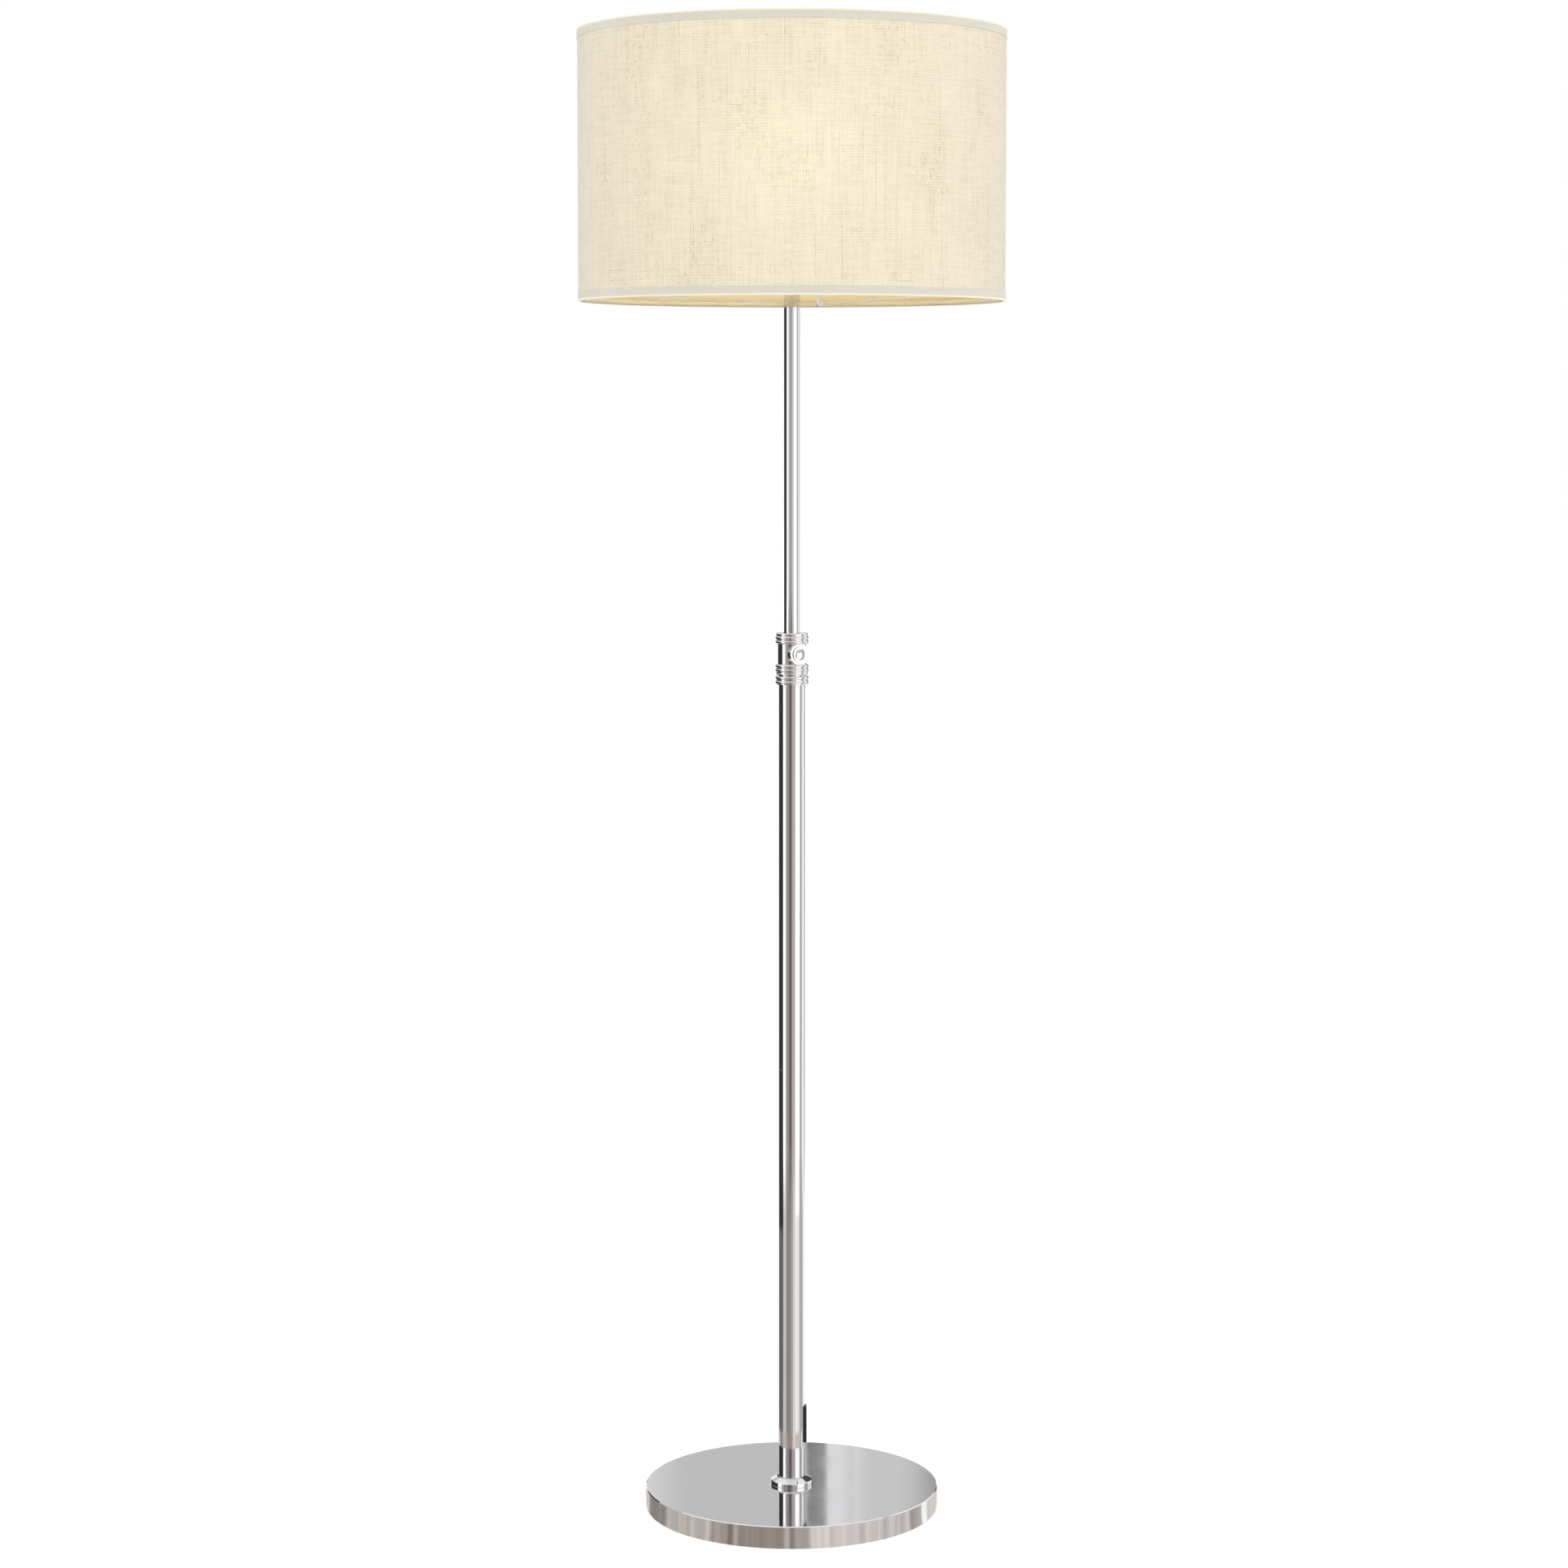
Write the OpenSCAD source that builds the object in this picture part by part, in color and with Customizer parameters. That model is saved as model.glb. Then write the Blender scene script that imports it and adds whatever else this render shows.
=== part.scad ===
// Telescopic floor lamp with a drum shade. All sizes are in millimetres.
// The origin is the middle of the base's underside, on the floor, and +Z points up.
// The lamp is seen from -Y, its rocker switch faces +X and its cord leaves towards +Y.

/* [Base] */
// Diameter of the round base
base_d = 280; // [240:5:340]
// Height of the base's top face above the floor
base_h = 22; // [21:0.5:30]
// Sheet thickness of the pressed cover
cover_wall = 1.2; // [0.8:0.1:1.6]
// Width of the bevel round the cover's top edge
cover_bevel = 0.8; // [0.4:0.1:1.4]
// Width of the hem that is rolled in under the weight
hem_w = 5; // [3:0.5:9]
// Height of the cover's rim above the floor
rim_lift = 0.8; // [0.4:0.1:1.2]
// Thickness of the cast weight's web
web_t = 8; // [6:0.5:9]
// Width of the cast weight's outer ring
weight_ring_w = 20; // [12:1:30]
// Diameter of the cast weight's hub
hub_d = 40; // [32:1:60]
// Drop of the hub below the web
hub_drop = 2.5; // [1:0.5:3]
// Number of ribs under the web
rib_count = 6; // [4:1:9]
// Width of a rib
rib_w = 6; // [4:0.5:10]
// Drop of a rib below the web
rib_drop = 5; // [3:0.5:8]
// Height of the cord inlet's axis above the floor
inlet_z = 8.4; // [8:0.1:10]
// Bore of the cord inlet's grommet
inlet_bore_d = 6.4; // [5:0.1:7]

/* [Foot] */
// Diameter of the hollow stud between base and pole
stud_d = 10; // [9:0.5:11]
// Bore of the hollow stud, for the lead
stud_bore_d = 7.2; // [6:0.1:7.6]
// Width of the stud's nut across its flats
nut_w = 17; // [14:0.5:20]
// Height of the stud's nut
nut_h = 4; // [3:0.5:5]
// Diameter of the washer under the nut
washer_d = 24; // [22:1:30]
// Thickness of the washer
washer_t = 1.5; // [1:0.1:2]
// Length of the plug in the lower tube's end
plug_l = 20; // [14:1:30]
// Width of the foot collar's ring, from its bore to its rim
foot_w = 6.9; // [5:0.1:12]
// Height of the foot collar's rim, up to where its cone would start
foot_rim_h = 4; // [3:0.1:6]
// Rise of the foot collar's cone above its rim
foot_cone_h = 3.3; // [1.5:0.1:6]
// Rounding between the foot collar's rim and its cone
foot_round = 1.6; // [0.4:0.1:1.8]
// Gap between the foot collar and the tube
foot_gap = 0.8; // [0.4:0.1:1.5]

/* [Pole] */
// Diameter of the lower and middle tubes
pole_d = 25; // [24:0.5:30]
// Wall of the lower and middle tubes
pole_wall = 1.2; // [0.9:0.1:1.4]
// Length of the lower tube, and of the middle tube
section_l = 403.6; // [380:0.4:440]
// Length of the joiner inside the seam
joiner_l = 50; // [30:1:70]
// Wall of the joiner
joiner_wall = 2.2; // [1:0.1:3]
// Diameter of the inner tube
inner_d = 15; // [14:0.5:16]
// Wall of the inner tube
inner_wall = 1; // [0.8:0.1:1.4]
// Length of inner tube that shows above the collar
inner_show = 321; // [300:1:360]
// Length that the inner tube can still be pulled out
pull_out = 35; // [20:1:60]
// Length of the guide bush on the inner tube's end
guide_l = 20; // [12:1:30]

/* [Telescopic collar] */
// Wall of the collar's plain sleeve
sleeve_wall = 0.9; // [0.7:0.1:1.4]
// Height of the plain sleeve between the groups of ridges
sleeve_h = 19.5; // [18:0.1:26]
// Rise of a ridge above the sleeve
ridge_rise = 2.4; // [2:0.1:4]
// Height of a ridge
ridge_h = 3.3; // [2.4:0.1:4.5]
// Rise of the smaller end lip above the sleeve
lip_rise = 1.7; // [1.6:0.1:2]
// Height of the smaller end lip
lip_h = 2.2; // [1.8:0.1:3]
// Height of a groove between two ridges
groove_h = 0.6; // [0.3:0.1:1.2]
// Rise of the grooves' floor above the sleeve
groove_rise = 1.4; // [0.8:0.1:1.5]
// Height of the collar above the middle tube's end
shoulder_h = 12.4; // [11:0.1:18]
// Length of the bush inside the collar
bush_l = 24; // [18:0.5:40]
// Gap between the collar and the end ring below it
ring_gap = 1; // [0.6:0.1:2]
// Height of the groove in the end ring
ring_groove_h = 0.9; // [0.4:0.1:1.5]

/* [Thumb screw] */
// Bearing of the screw from the front (-Y) towards the right (+X)
screw_bearing = 31.5; // [0:0.5:60]
// Diameter of the screw's shank
screw_d = 6; // [5:0.5:7]
// Rise of the screw's boss above the sleeve
boss_rise = 0.8; // [0.4:0.1:1.4]
// Diameter of the screw's head
head_d = 15; // [12:0.1:18]
// Thickness of the head's rim
head_t = 0.9; // [0.6:0.1:2]
// Diameter of the head's dome
dome_d = 11.2; // [8:0.1:12]
// Rise of the dome above the head's rim
dome_rise = 1.2; // [0.5:0.1:3]
// Diameter of the brass pad
pad_d = 5.6; // [4.6:0.1:6]
// Length of the brass pad
pad_l = 2.5; // [2:0.1:2.8]

/* [Switch] */
// Height of the switch's middle above the base
switch_up = 58.6; // [50:0.2:120]
// Width of the switch's bezel
bezel_w = 9; // [8.4:0.1:10]
// Height of the switch's bezel
bezel_h = 35.6; // [34:0.1:42]
// Rise of the bezel's face above the tube
bezel_rise = 1.9; // [1:0.1:2.5]
// Rounding of the bezel's upper end
bezel_top_round = 2; // [0.4:0.1:2.4]
// Rounding of the bezel's lower end
bezel_foot_round = 0.8; // [0.4:0.1:2.4]
// Width of the switch's housing in its slot
housing_w = 7.4; // [7:0.1:8]
// Height of the switch's housing in its slot
housing_h = 32.4; // [30:0.1:34]
// Wall of the housing
housing_wall = 0.7; // [0.5:0.1:0.8]
// Angle that the rocker leans to either side of its middle
rocker_lean = 3.5; // [2:0.5:4]

/* [Lampholder] */
// Diameter of the lampholder's threaded skirt
holder_d = 40; // [39:0.5:42]
// Height of the whole lampholder
holder_h = 57; // [56:0.5:64]
// Height of the lampholder's domed cap
cap_h = 24; // [23:0.5:27]
// Wall of the lampholder's plastic pieces
holder_wall = 1.2; // [1:0.1:1.6]
// Diameter of a shade ring
shade_ring_d = 55; // [50:1:58]
// Height of a shade ring
shade_ring_h = 4; // [3:0.5:5]

/* [Bulb] */
// Diameter of the bulb's globe
bulb_d = 60; // [55:1:80]
// Length of the whole bulb
bulb_l = 108; // [100:1:130]
// Diameter of the bulb's metal cap
bulb_cap_d = 26; // [25.4:0.1:26.4]

/* [Shade] */
// Diameter of the shade
shade_d = 400; // [300:5:500]
// Height of the shade
shade_h = 250; // [200:5:320]
// Thickness of the fabric
fabric_t = 0.5; // [0.3:0.1:1]
// Thickness of the stiff liner
liner_t = 0.5; // [0.3:0.1:1]
// Thickness of the edging tape
trim_t = 0.45; // [0.3:0.05:0.8]
// Height of the edging tape on the shade's outside
trim_h = 8.5; // [6:0.5:14]
// Diameter of the wire of the two rings
wire_d = 3.8; // [3:0.1:5]
// Diameter of the wire of the spokes
spoke_d = 3.5; // [2.5:0.1:3.7]
// Number of spokes
spoke_count = 3; // [3:1:5]
// Bearing of the first spoke from the back (+Y) towards the right (+X)
spoke_bearing = 8.3; // [0:0.1:30]
// Height of the fitter above the shade's lower edge
fitter_recess = 57.6; // [40:0.1:90]
// Hole of the fitter, over the lampholder's skirt
fitter_hole_d = 42; // [42:0.5:46]
// Width of the fitter's ring
fitter_w = 10; // [9:0.5:14]
// Thickness of the fitter's ring
fitter_t = 1.5; // [1.2:0.1:2.5]

/* [Hidden] */
$fn = 96;

// Clearances, each used wherever that kind of fit occurs
press_gap = 0.05; // pressed or glued pieces
thread_gap = 0.05; // screwed pieces
slide_gap = 0.08; // pieces that slide or turn in each other
free_gap = 0.3; // pieces that pass without touching
through = 1; // how far a cutter runs past the face that it opens

// Colours
chrome = [0.78, 0.78, 0.8];
zinc = [0.62, 0.63, 0.65];
iron = [0.22, 0.22, 0.23];
felt = [0.1, 0.1, 0.1];
black = [0.05, 0.05, 0.06];
nylon = [0.9, 0.9, 0.87];
brass = [0.8, 0.65, 0.35];
white = [0.95, 0.95, 0.93];
ceramic = [0.9, 0.88, 0.83];
lit = [1, 0.95, 0.8];
linen = [0.93, 0.88, 0.78];
tape = [0.9, 0.9, 0.87];

// Base, from the floor up
base_r = base_d / 2;
pad_t = rim_lift + cover_wall;
weight_top = base_h - cover_wall;
web_low = weight_top - web_t;
hub_low = web_low - hub_drop;
nut_low = hub_low - washer_t - nut_h;
stud_proud = 0.8;
stud_recess = 2; // of the stud's upper end in the plug
stud_low = nut_low - stud_proud;
stud_r = stud_d / 2;
stud_bore_r = stud_bore_d / 2;
cover_inner_r = base_r - cover_wall;
weight_r = cover_inner_r - free_gap;
edge_cut = 0.4; // small chamfers on metal edges
weight_edge = 1.5;
casting_draft = 1;

// Cord inlet, in the rear of the rim
inlet_bore_r = inlet_bore_d / 2;
grommet_wall = 1.1;
grommet_r = inlet_bore_r + grommet_wall;
inlet_hole_r = grommet_r + press_gap;
grommet_flange_r = grommet_r + grommet_wall;
grommet_flange_t = 1.4;
channel_r = grommet_flange_r + free_gap;

// Pole
pole_r = pole_d / 2;
pole_in_r = pole_r - pole_wall;
seam_z = base_h + section_l;
pole_end = seam_z + section_l;
tube_edge = 0.15;
inner_r = inner_d / 2;
inner_in_r = inner_r - inner_wall;

// Telescopic collar
sleeve_r = pole_r + sleeve_wall;
ridge_r = sleeve_r + ridge_rise;
lip_r = sleeve_r + lip_rise;
groove_r = sleeve_r + groove_rise;
ridge_round = min(0.45 * ridge_h, ridge_rise - 0.4); // a ridge is nearly a half ring
lip_round = min(0.45 * lip_h, lip_rise - 0.4);
group_h = 2 * ridge_h + 2 * groove_h + lip_h;
collar_top = pole_end + shoulder_h;
sleeve_top = collar_top - group_h;
sleeve_low = sleeve_top - sleeve_h;
collar_low = sleeve_low - group_h;
collar_bore_r = pole_r + press_gap;
mouth_gap = 0.5; // round the inner tube where it leaves the collar
collar_mouth_r = inner_r + mouth_gap;
ring_top = collar_low - ring_gap;
ring_foot_h = 0.6;
bush_low = pole_end - bush_l;

// Inner tube: the clip stops against the collar's bush when it is fully pulled out
stop_gap = 0.5;
clip_t = 1.2;
clip_depth = 0.4;
clip_w = 2.2;
clip_low = bush_low - pull_out - stop_gap - clip_t;
guide_floor_t = 2;
guide_ledge = 1; // of the guide's floor inside the tube's bore
guide_low = clip_low - slide_gap - guide_l;
tube_low = guide_low + guide_floor_t + slide_gap;
pole_top = collar_top + inner_show;

// Thumb screw: places along its axis are distances from the pole's axis
screw_z = (sleeve_top + sleeve_low) / 2;
screw_r = screw_d / 2;
pad_r = pad_d / 2;
pad_face = inner_r + free_gap;
pad_back = pad_face + pad_l;
pilot_r = 1.2;
pilot_l = 0.9;
boss_face = sleeve_r + boss_rise;
boss_lap = 0.3; // how far the boss runs into the ridges above and below
boss_r = sleeve_h / 2 + boss_lap;
head_low = boss_face + free_gap;
head_round = 0.3;
dome_r = dome_d / 2;
dome_sphere_r = (dome_r * dome_r + dome_rise * dome_rise) / (2 * dome_rise);

// Switch: u runs outwards from the pivot, and the rocker rests with its upper end pressed
switch_z = base_h + switch_up;
bezel_face = pole_r + bezel_rise;
housing_depth = 9.3;
housing_end_t = 1;
housing_back = pole_r - housing_depth;
pocket_floor = housing_back + housing_end_t;
pocket_w = housing_w - 2 * housing_wall;
pocket_h = housing_h - 2 * housing_end_t;
slot_gap = 0.1;
pivot_depth = 2.9;
pivot_x = pole_r - pivot_depth;
pivot_r = 0.8;
rocker_side_gap = 0.15;
rocker_end_gap = 0.5;
rocker_w = pocket_w - 2 * rocker_side_gap;
rocker_half = pocket_h / 2 - rocker_end_gap;
rocker_round = 0.8;
rocker_sink = rocker_half * sin(rocker_lean); // the end that stands out is flush with the bezel
rocker_u = bezel_face - rocker_sink - pivot_x;
rocker_dip = 0.4;
rocker_heel_u = -1.6;
rocker_waist_u = 1;
rocker_hub_r = 2.2;
rocker_post_u = -2.5;
bridge_t = 0.4;
bridge_w = 4;
bridge_reach = 8.8;
terminal_up = 8;
terminal_gap = 0.12;
terminal_t = 0.8;
terminal_w = 1.4;
terminal_y = 1.2;
terminal_tail = 3.5;

// Lampholder, from the inner tube's end up
nipple_r = stud_r;
insert_l = 18;
nipple_grip = 14;
neck_wall = 4;
neck_r = nipple_r + neck_wall;
neck_h = 7;
cap_floor_t = 2;
holder_r = holder_d / 2;
cap_arc_r = 13;
cap_arc_z = pole_top + neck_h + cap_arc_r;
holder_nut_h = 3;
holder_nut_w = 14;
nipple_top = pole_top + neck_h + cap_floor_t + holder_nut_h + stud_proud;
cap_top = pole_top + cap_h;
spigot_h = 6;
spigot_r = holder_r - holder_wall - thread_gap;
spigot_in_r = spigot_r - holder_wall;
ledge_w = 1.5;
block_lift = 1; // above the cap's arc
block_low = cap_arc_z + block_lift;
block_h = 11;
block_top = block_low + block_h;
block_r = spigot_in_r - press_gap;
holder_top = pole_top + holder_h;
lip_t = 3;
bulb_cap_r = bulb_cap_d / 2;
bulb_thread_gap = 0.4;
sleeve_in_r = bulb_cap_r + bulb_thread_gap;
shell_t = 0.5;
shell_recess = 2;
shell_top = holder_top - shell_recess;
shell_flange_w = 2.5;
terminal_screw_x = 10;
terminal_screw_r = 1.6;
terminal_head_r = 2.5;
terminal_head_h = 2.4;

// Bulb, from the tip of its cap up
contact_rise = 2.5;
contact_gap = 0.1;
bulb_low = block_top + contact_rise + contact_gap;
tip_h = 1.6;
tip_r = 4.5;
insulator_h = 3.4;
cap_bevel = 1.2;
insulator_r = bulb_cap_r - cap_bevel;
cap_shell_t = 0.4;
cap_proud = 3;
bulb_cap_top = holder_top + cap_proud;
globe_r = bulb_d / 2;
globe_z = bulb_low + bulb_l - globe_r;
globe_wall = 1;
globe_mouth_r = 0.9 * globe_r;
globe_low = globe_z - sqrt(globe_r * globe_r - globe_mouth_r * globe_mouth_r);
neck_step = 0.6;
bulb_neck_r = bulb_cap_r + neck_step;
flare_steps = 16;

// Shade
fitter_drop = 10; // below the lampholder's top
fitter_low = pole_top + holder_h - fitter_drop;
fitter_r = fitter_hole_d / 2 + fitter_w;
shade_low = fitter_low - fitter_recess;
shade_top = shade_low + shade_h;
fabric_r = shade_d / 2 - trim_t - press_gap;
liner_r = fabric_r - fabric_t - press_gap;
wire_r = wire_d / 2;
wire_gap = 0.25;
ring_r = liner_r - liner_t - wire_gap - wire_r;
wire_up = trim_t + wire_gap + wire_r; // height of a ring's middle above the shade's edge
wire_z = shade_low + wire_up;
cloth_inset = trim_t + press_gap; // the cloth ends this far inside the edging
spoke_lap = 1.5; // of the spokes' ends on the fitter
spoke_end_r = fitter_r - spoke_lap;
spoke_rise = fitter_low + fitter_t / 2 - wire_z;
spoke_run = ring_r - spoke_end_r;
spoke_l = sqrt(spoke_rise * spoke_rise + spoke_run * spoke_run);
spoke_slope = atan2(spoke_rise, spoke_run);

// A round tube between two heights
module pipe(z_low, z_high, r_out, r_in) {
  translate([0, 0, z_low])
    difference() {
      cylinder(h = z_high - z_low, r = r_out);
      translate([0, 0, -through])
        cylinder(h = z_high - z_low + 2 * through, r = r_in);
    }
}

// A square cut tube with its outer edges broken
module pole_section(z_low, z_high, r_out, r_in) {
  rotate_extrude()
    polygon([
      [r_in, z_low], [r_out - tube_edge, z_low], [r_out, z_low + tube_edge],
      [r_out, z_high - tube_edge], [r_out - tube_edge, z_high], [r_in, z_high]
    ]);
}

// The section of a ridge that stands on r_root, with both outer edges rounded
module ridge_section(z_low, height, r_root, r_peak, rounding) {
  translate([r_root, z_low])
    square([r_peak - rounding - r_root, height]);
  translate([r_root, z_low + rounding])
    square([r_peak - r_root, height - 2 * rounding]);
  for (z = [z_low + rounding, z_low + height - rounding])
    translate([r_peak - rounding, z])
      circle(r = rounding);
}

// A hexagonal nut with its bore
module hex_nut(z_low, height, flats, bore_r) {
  translate([0, 0, z_low])
    difference() {
      cylinder(h = height, r = flats / sqrt(3), $fn = 6);
      translate([0, 0, -through])
        cylinder(h = height + 2 * through, r = bore_r);
    }
}

// Places its children with +Z along the thumb screw, starting from the pole's axis
module along_screw() {
  translate([0, 0, screw_z])
    rotate([0, 0, screw_bearing - 90])
      rotate([0, 90, 0])
        children();
}

// Places its children with +Z along the cord inlet, starting from the pole's axis
module along_inlet() {
  translate([0, 0, inlet_z])
    rotate([-90, 0, 0])
      children();
}

module base_pad() {
  color(felt)
    cylinder(h = pad_t, r = base_r - hem_w - free_gap);
}

module base_cover() {
  color(chrome)
    difference() {
      rotate_extrude()
        polygon([
          [base_r - hem_w, rim_lift], [base_r - edge_cut, rim_lift],
          [base_r, rim_lift + edge_cut], [base_r, base_h - cover_bevel],
          [base_r - cover_bevel, base_h], [stud_r + free_gap, base_h],
          [stud_r + free_gap, weight_top], [cover_inner_r, weight_top],
          [cover_inner_r, pad_t], [base_r - hem_w, pad_t]
        ]);
      along_inlet()
        translate([0, 0, weight_r])
          cylinder(h = 2 * cover_wall + 2 * through, r = inlet_hole_r);
    }
}

module base_weight() {
  rib_l = weight_r - weight_ring_w - hub_d / 2 + 2 * casting_draft;
  color(iron)
    difference() {
      union() {
        rotate_extrude()
          polygon([
            [stud_r + free_gap, weight_top], [weight_r - weight_edge, weight_top],
            [weight_r, weight_top - weight_edge], [weight_r, pad_t],
            [weight_r - weight_ring_w, pad_t],
            [weight_r - weight_ring_w - casting_draft, web_low],
            [hub_d / 2 + casting_draft, web_low], [hub_d / 2, hub_low],
            [stud_r + free_gap, hub_low]
          ]);
        for (i = [0 : rib_count - 1])
          rotate([0, 0, 90 + (i + 0.5) * 360 / rib_count])
            translate([hub_d / 2 - casting_draft, -rib_w / 2, web_low - rib_drop])
              cube([rib_l, rib_w, rib_drop + through]);
      }
      // The nut and washer need the room under the hub
      translate([0, 0, pad_t - through])
        cylinder(h = hub_low - pad_t + through, r = washer_d / 2 + free_gap);
      // The cord's channel through the outer ring
      along_inlet()
        translate([0, 0, weight_r - weight_ring_w - 2 * casting_draft])
          cylinder(h = weight_ring_w + 2 * casting_draft + through, r = channel_r);
      translate([-channel_r, weight_r - weight_ring_w - 2 * casting_draft, pad_t - through])
        cube([2 * channel_r, weight_ring_w + 2 * casting_draft + through,
          inlet_z - pad_t + through]);
    }
}

module cord_grommet() {
  grommet_in = cover_inner_r - grommet_flange_t - slot_gap;
  grommet_out = base_r + grommet_flange_t;
  color(black)
    along_inlet()
      rotate_extrude()
        polygon([
          [inlet_bore_r, grommet_in], [grommet_flange_r, grommet_in],
          [grommet_flange_r, grommet_in + grommet_flange_t - slot_gap],
          [grommet_r, grommet_in + grommet_flange_t - slot_gap], [grommet_r, base_r],
          [grommet_flange_r, base_r], [grommet_flange_r, grommet_out - edge_cut],
          [grommet_flange_r - edge_cut, grommet_out], [inlet_bore_r, grommet_out]
        ]);
}

module base_stud() {
  color(zinc)
    pipe(stud_low, base_h + plug_l - stud_recess, stud_r, stud_bore_r);
}

module base_washer() {
  color(zinc)
    pipe(hub_low - washer_t, hub_low, washer_d / 2, stud_r + free_gap);
}

module base_nut() {
  color(zinc)
    hex_nut(nut_low, nut_h, nut_w, stud_r + thread_gap);
}

module foot_plug() {
  color(zinc)
    pipe(base_h, base_h + plug_l, pole_in_r - press_gap, stud_r + thread_gap);
}

module foot_collar() {
  bore_r = pole_r + foot_gap;
  rim_r = bore_r + foot_w;
  rim_top = base_h + foot_rim_h;
  mouth_cut = 0.6;
  cone_slope = atan2(foot_cone_h, foot_w - mouth_cut);
  tangent_l = foot_round / tan(45 + cone_slope / 2);
  color(chrome)
    rotate_extrude() {
      polygon([
        [bore_r, base_h], [rim_r - edge_cut, base_h], [rim_r, base_h + edge_cut],
        [rim_r, rim_top - tangent_l], [rim_r - foot_round, rim_top - tangent_l],
        [rim_r - tangent_l * cos(cone_slope), rim_top + tangent_l * sin(cone_slope)],
        [bore_r + mouth_cut, rim_top + foot_cone_h],
        [bore_r, rim_top + foot_cone_h - mouth_cut]
      ]);
      translate([rim_r - foot_round, rim_top - tangent_l])
        circle(r = foot_round);
    }
}

module lower_tube() {
  slot_w = housing_w + 2 * slot_gap;
  slot_h = housing_h + 2 * slot_gap;
  color(chrome)
    difference() {
      pole_section(base_h, seam_z, pole_r, pole_in_r);
      translate([0, -slot_w / 2, switch_z - slot_h / 2])
        cube([pole_r + through, slot_w, slot_h]);
    }
}

module tube_joiner() {
  color(zinc)
    pipe(seam_z - joiner_l / 2, seam_z + joiner_l / 2, pole_in_r - press_gap,
      pole_in_r - press_gap - joiner_wall);
}

module middle_tube() {
  color(chrome)
    difference() {
      pole_section(seam_z, pole_end, pole_r, pole_in_r);
      along_screw()
        cylinder(h = pole_r + through, r = screw_r + free_gap);
    }
}

module end_ring() {
  ring_h = 2 * ridge_h + ring_groove_h + ring_foot_h;
  ring_low = ring_top - ring_h;
  color(chrome)
    rotate_extrude() {
      translate([collar_bore_r, ring_low])
        square([sleeve_r - collar_bore_r, ring_h]);
      translate([collar_bore_r, ring_low])
        square([groove_r - collar_bore_r, ring_h - ridge_h / 2]);
      for (z = [ring_low + ring_foot_h, ring_top - ridge_h])
        ridge_section(z, ridge_h, sleeve_r, ridge_r, ridge_round);
    }
}

module clamp_collar() {
  grooved_h = group_h - (lip_h + ridge_h) / 2;
  color(chrome)
    difference() {
      union() {
        rotate_extrude() {
          translate([collar_mouth_r, collar_low])
            square([sleeve_r - collar_mouth_r, collar_top - collar_low]);
          for (z = [collar_low + lip_h / 2, sleeve_top + ridge_h / 2])
            translate([collar_mouth_r, z])
              square([groove_r - collar_mouth_r, grooved_h]);
          ridge_section(collar_low, lip_h, sleeve_r, lip_r, lip_round);
          ridge_section(collar_low + lip_h + groove_h, ridge_h, sleeve_r, ridge_r, ridge_round);
          ridge_section(sleeve_low - ridge_h, ridge_h, sleeve_r, ridge_r, ridge_round);
          ridge_section(sleeve_top, ridge_h, sleeve_r, ridge_r, ridge_round);
          ridge_section(sleeve_top + ridge_h + groove_h, ridge_h, sleeve_r, ridge_r, ridge_round);
          ridge_section(collar_top - lip_h, lip_h, sleeve_r, lip_r, lip_round);
        }
        along_screw()
          cylinder(h = boss_face, r = boss_r);
      }
      // The socket over the middle tube's end, and the inner tube's way out
      translate([0, 0, collar_low - through])
        cylinder(h = pole_end - collar_low + through, r = collar_bore_r);
      cylinder(h = collar_top + through, r = collar_mouth_r);
      along_screw()
        cylinder(h = boss_face + through, r = screw_r + thread_gap);
    }
}

module collar_bush() {
  color(nylon)
    difference() {
      pipe(bush_low, pole_end, pole_in_r - press_gap, inner_r + slide_gap);
      // The pad's guide, opened out where the screw's shank comes in
      along_screw()
        cylinder(h = pole_r, r = pad_r + slide_gap);
      along_screw()
        translate([0, 0, pad_back - free_gap])
          cylinder(h = pole_r, r = screw_r + free_gap);
    }
}

// The bezel's section from the pivot out, centred on the switch: a slab with its outer corners rounded
module bezel_section() {
  depth = bezel_face - pivot_x;
  translate([pivot_x, bezel_foot_round - bezel_h / 2])
    square([depth, bezel_h - bezel_foot_round - bezel_top_round]);
  translate([pivot_x, -bezel_h / 2])
    square([depth - bezel_foot_round, bezel_h / 2]);
  translate([pivot_x, 0])
    square([depth - bezel_top_round, bezel_h / 2]);
  translate([bezel_face - bezel_foot_round, bezel_foot_round - bezel_h / 2])
    circle(r = bezel_foot_round);
  translate([bezel_face - bezel_top_round, bezel_h / 2 - bezel_top_round])
    circle(r = bezel_top_round);
}

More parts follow.
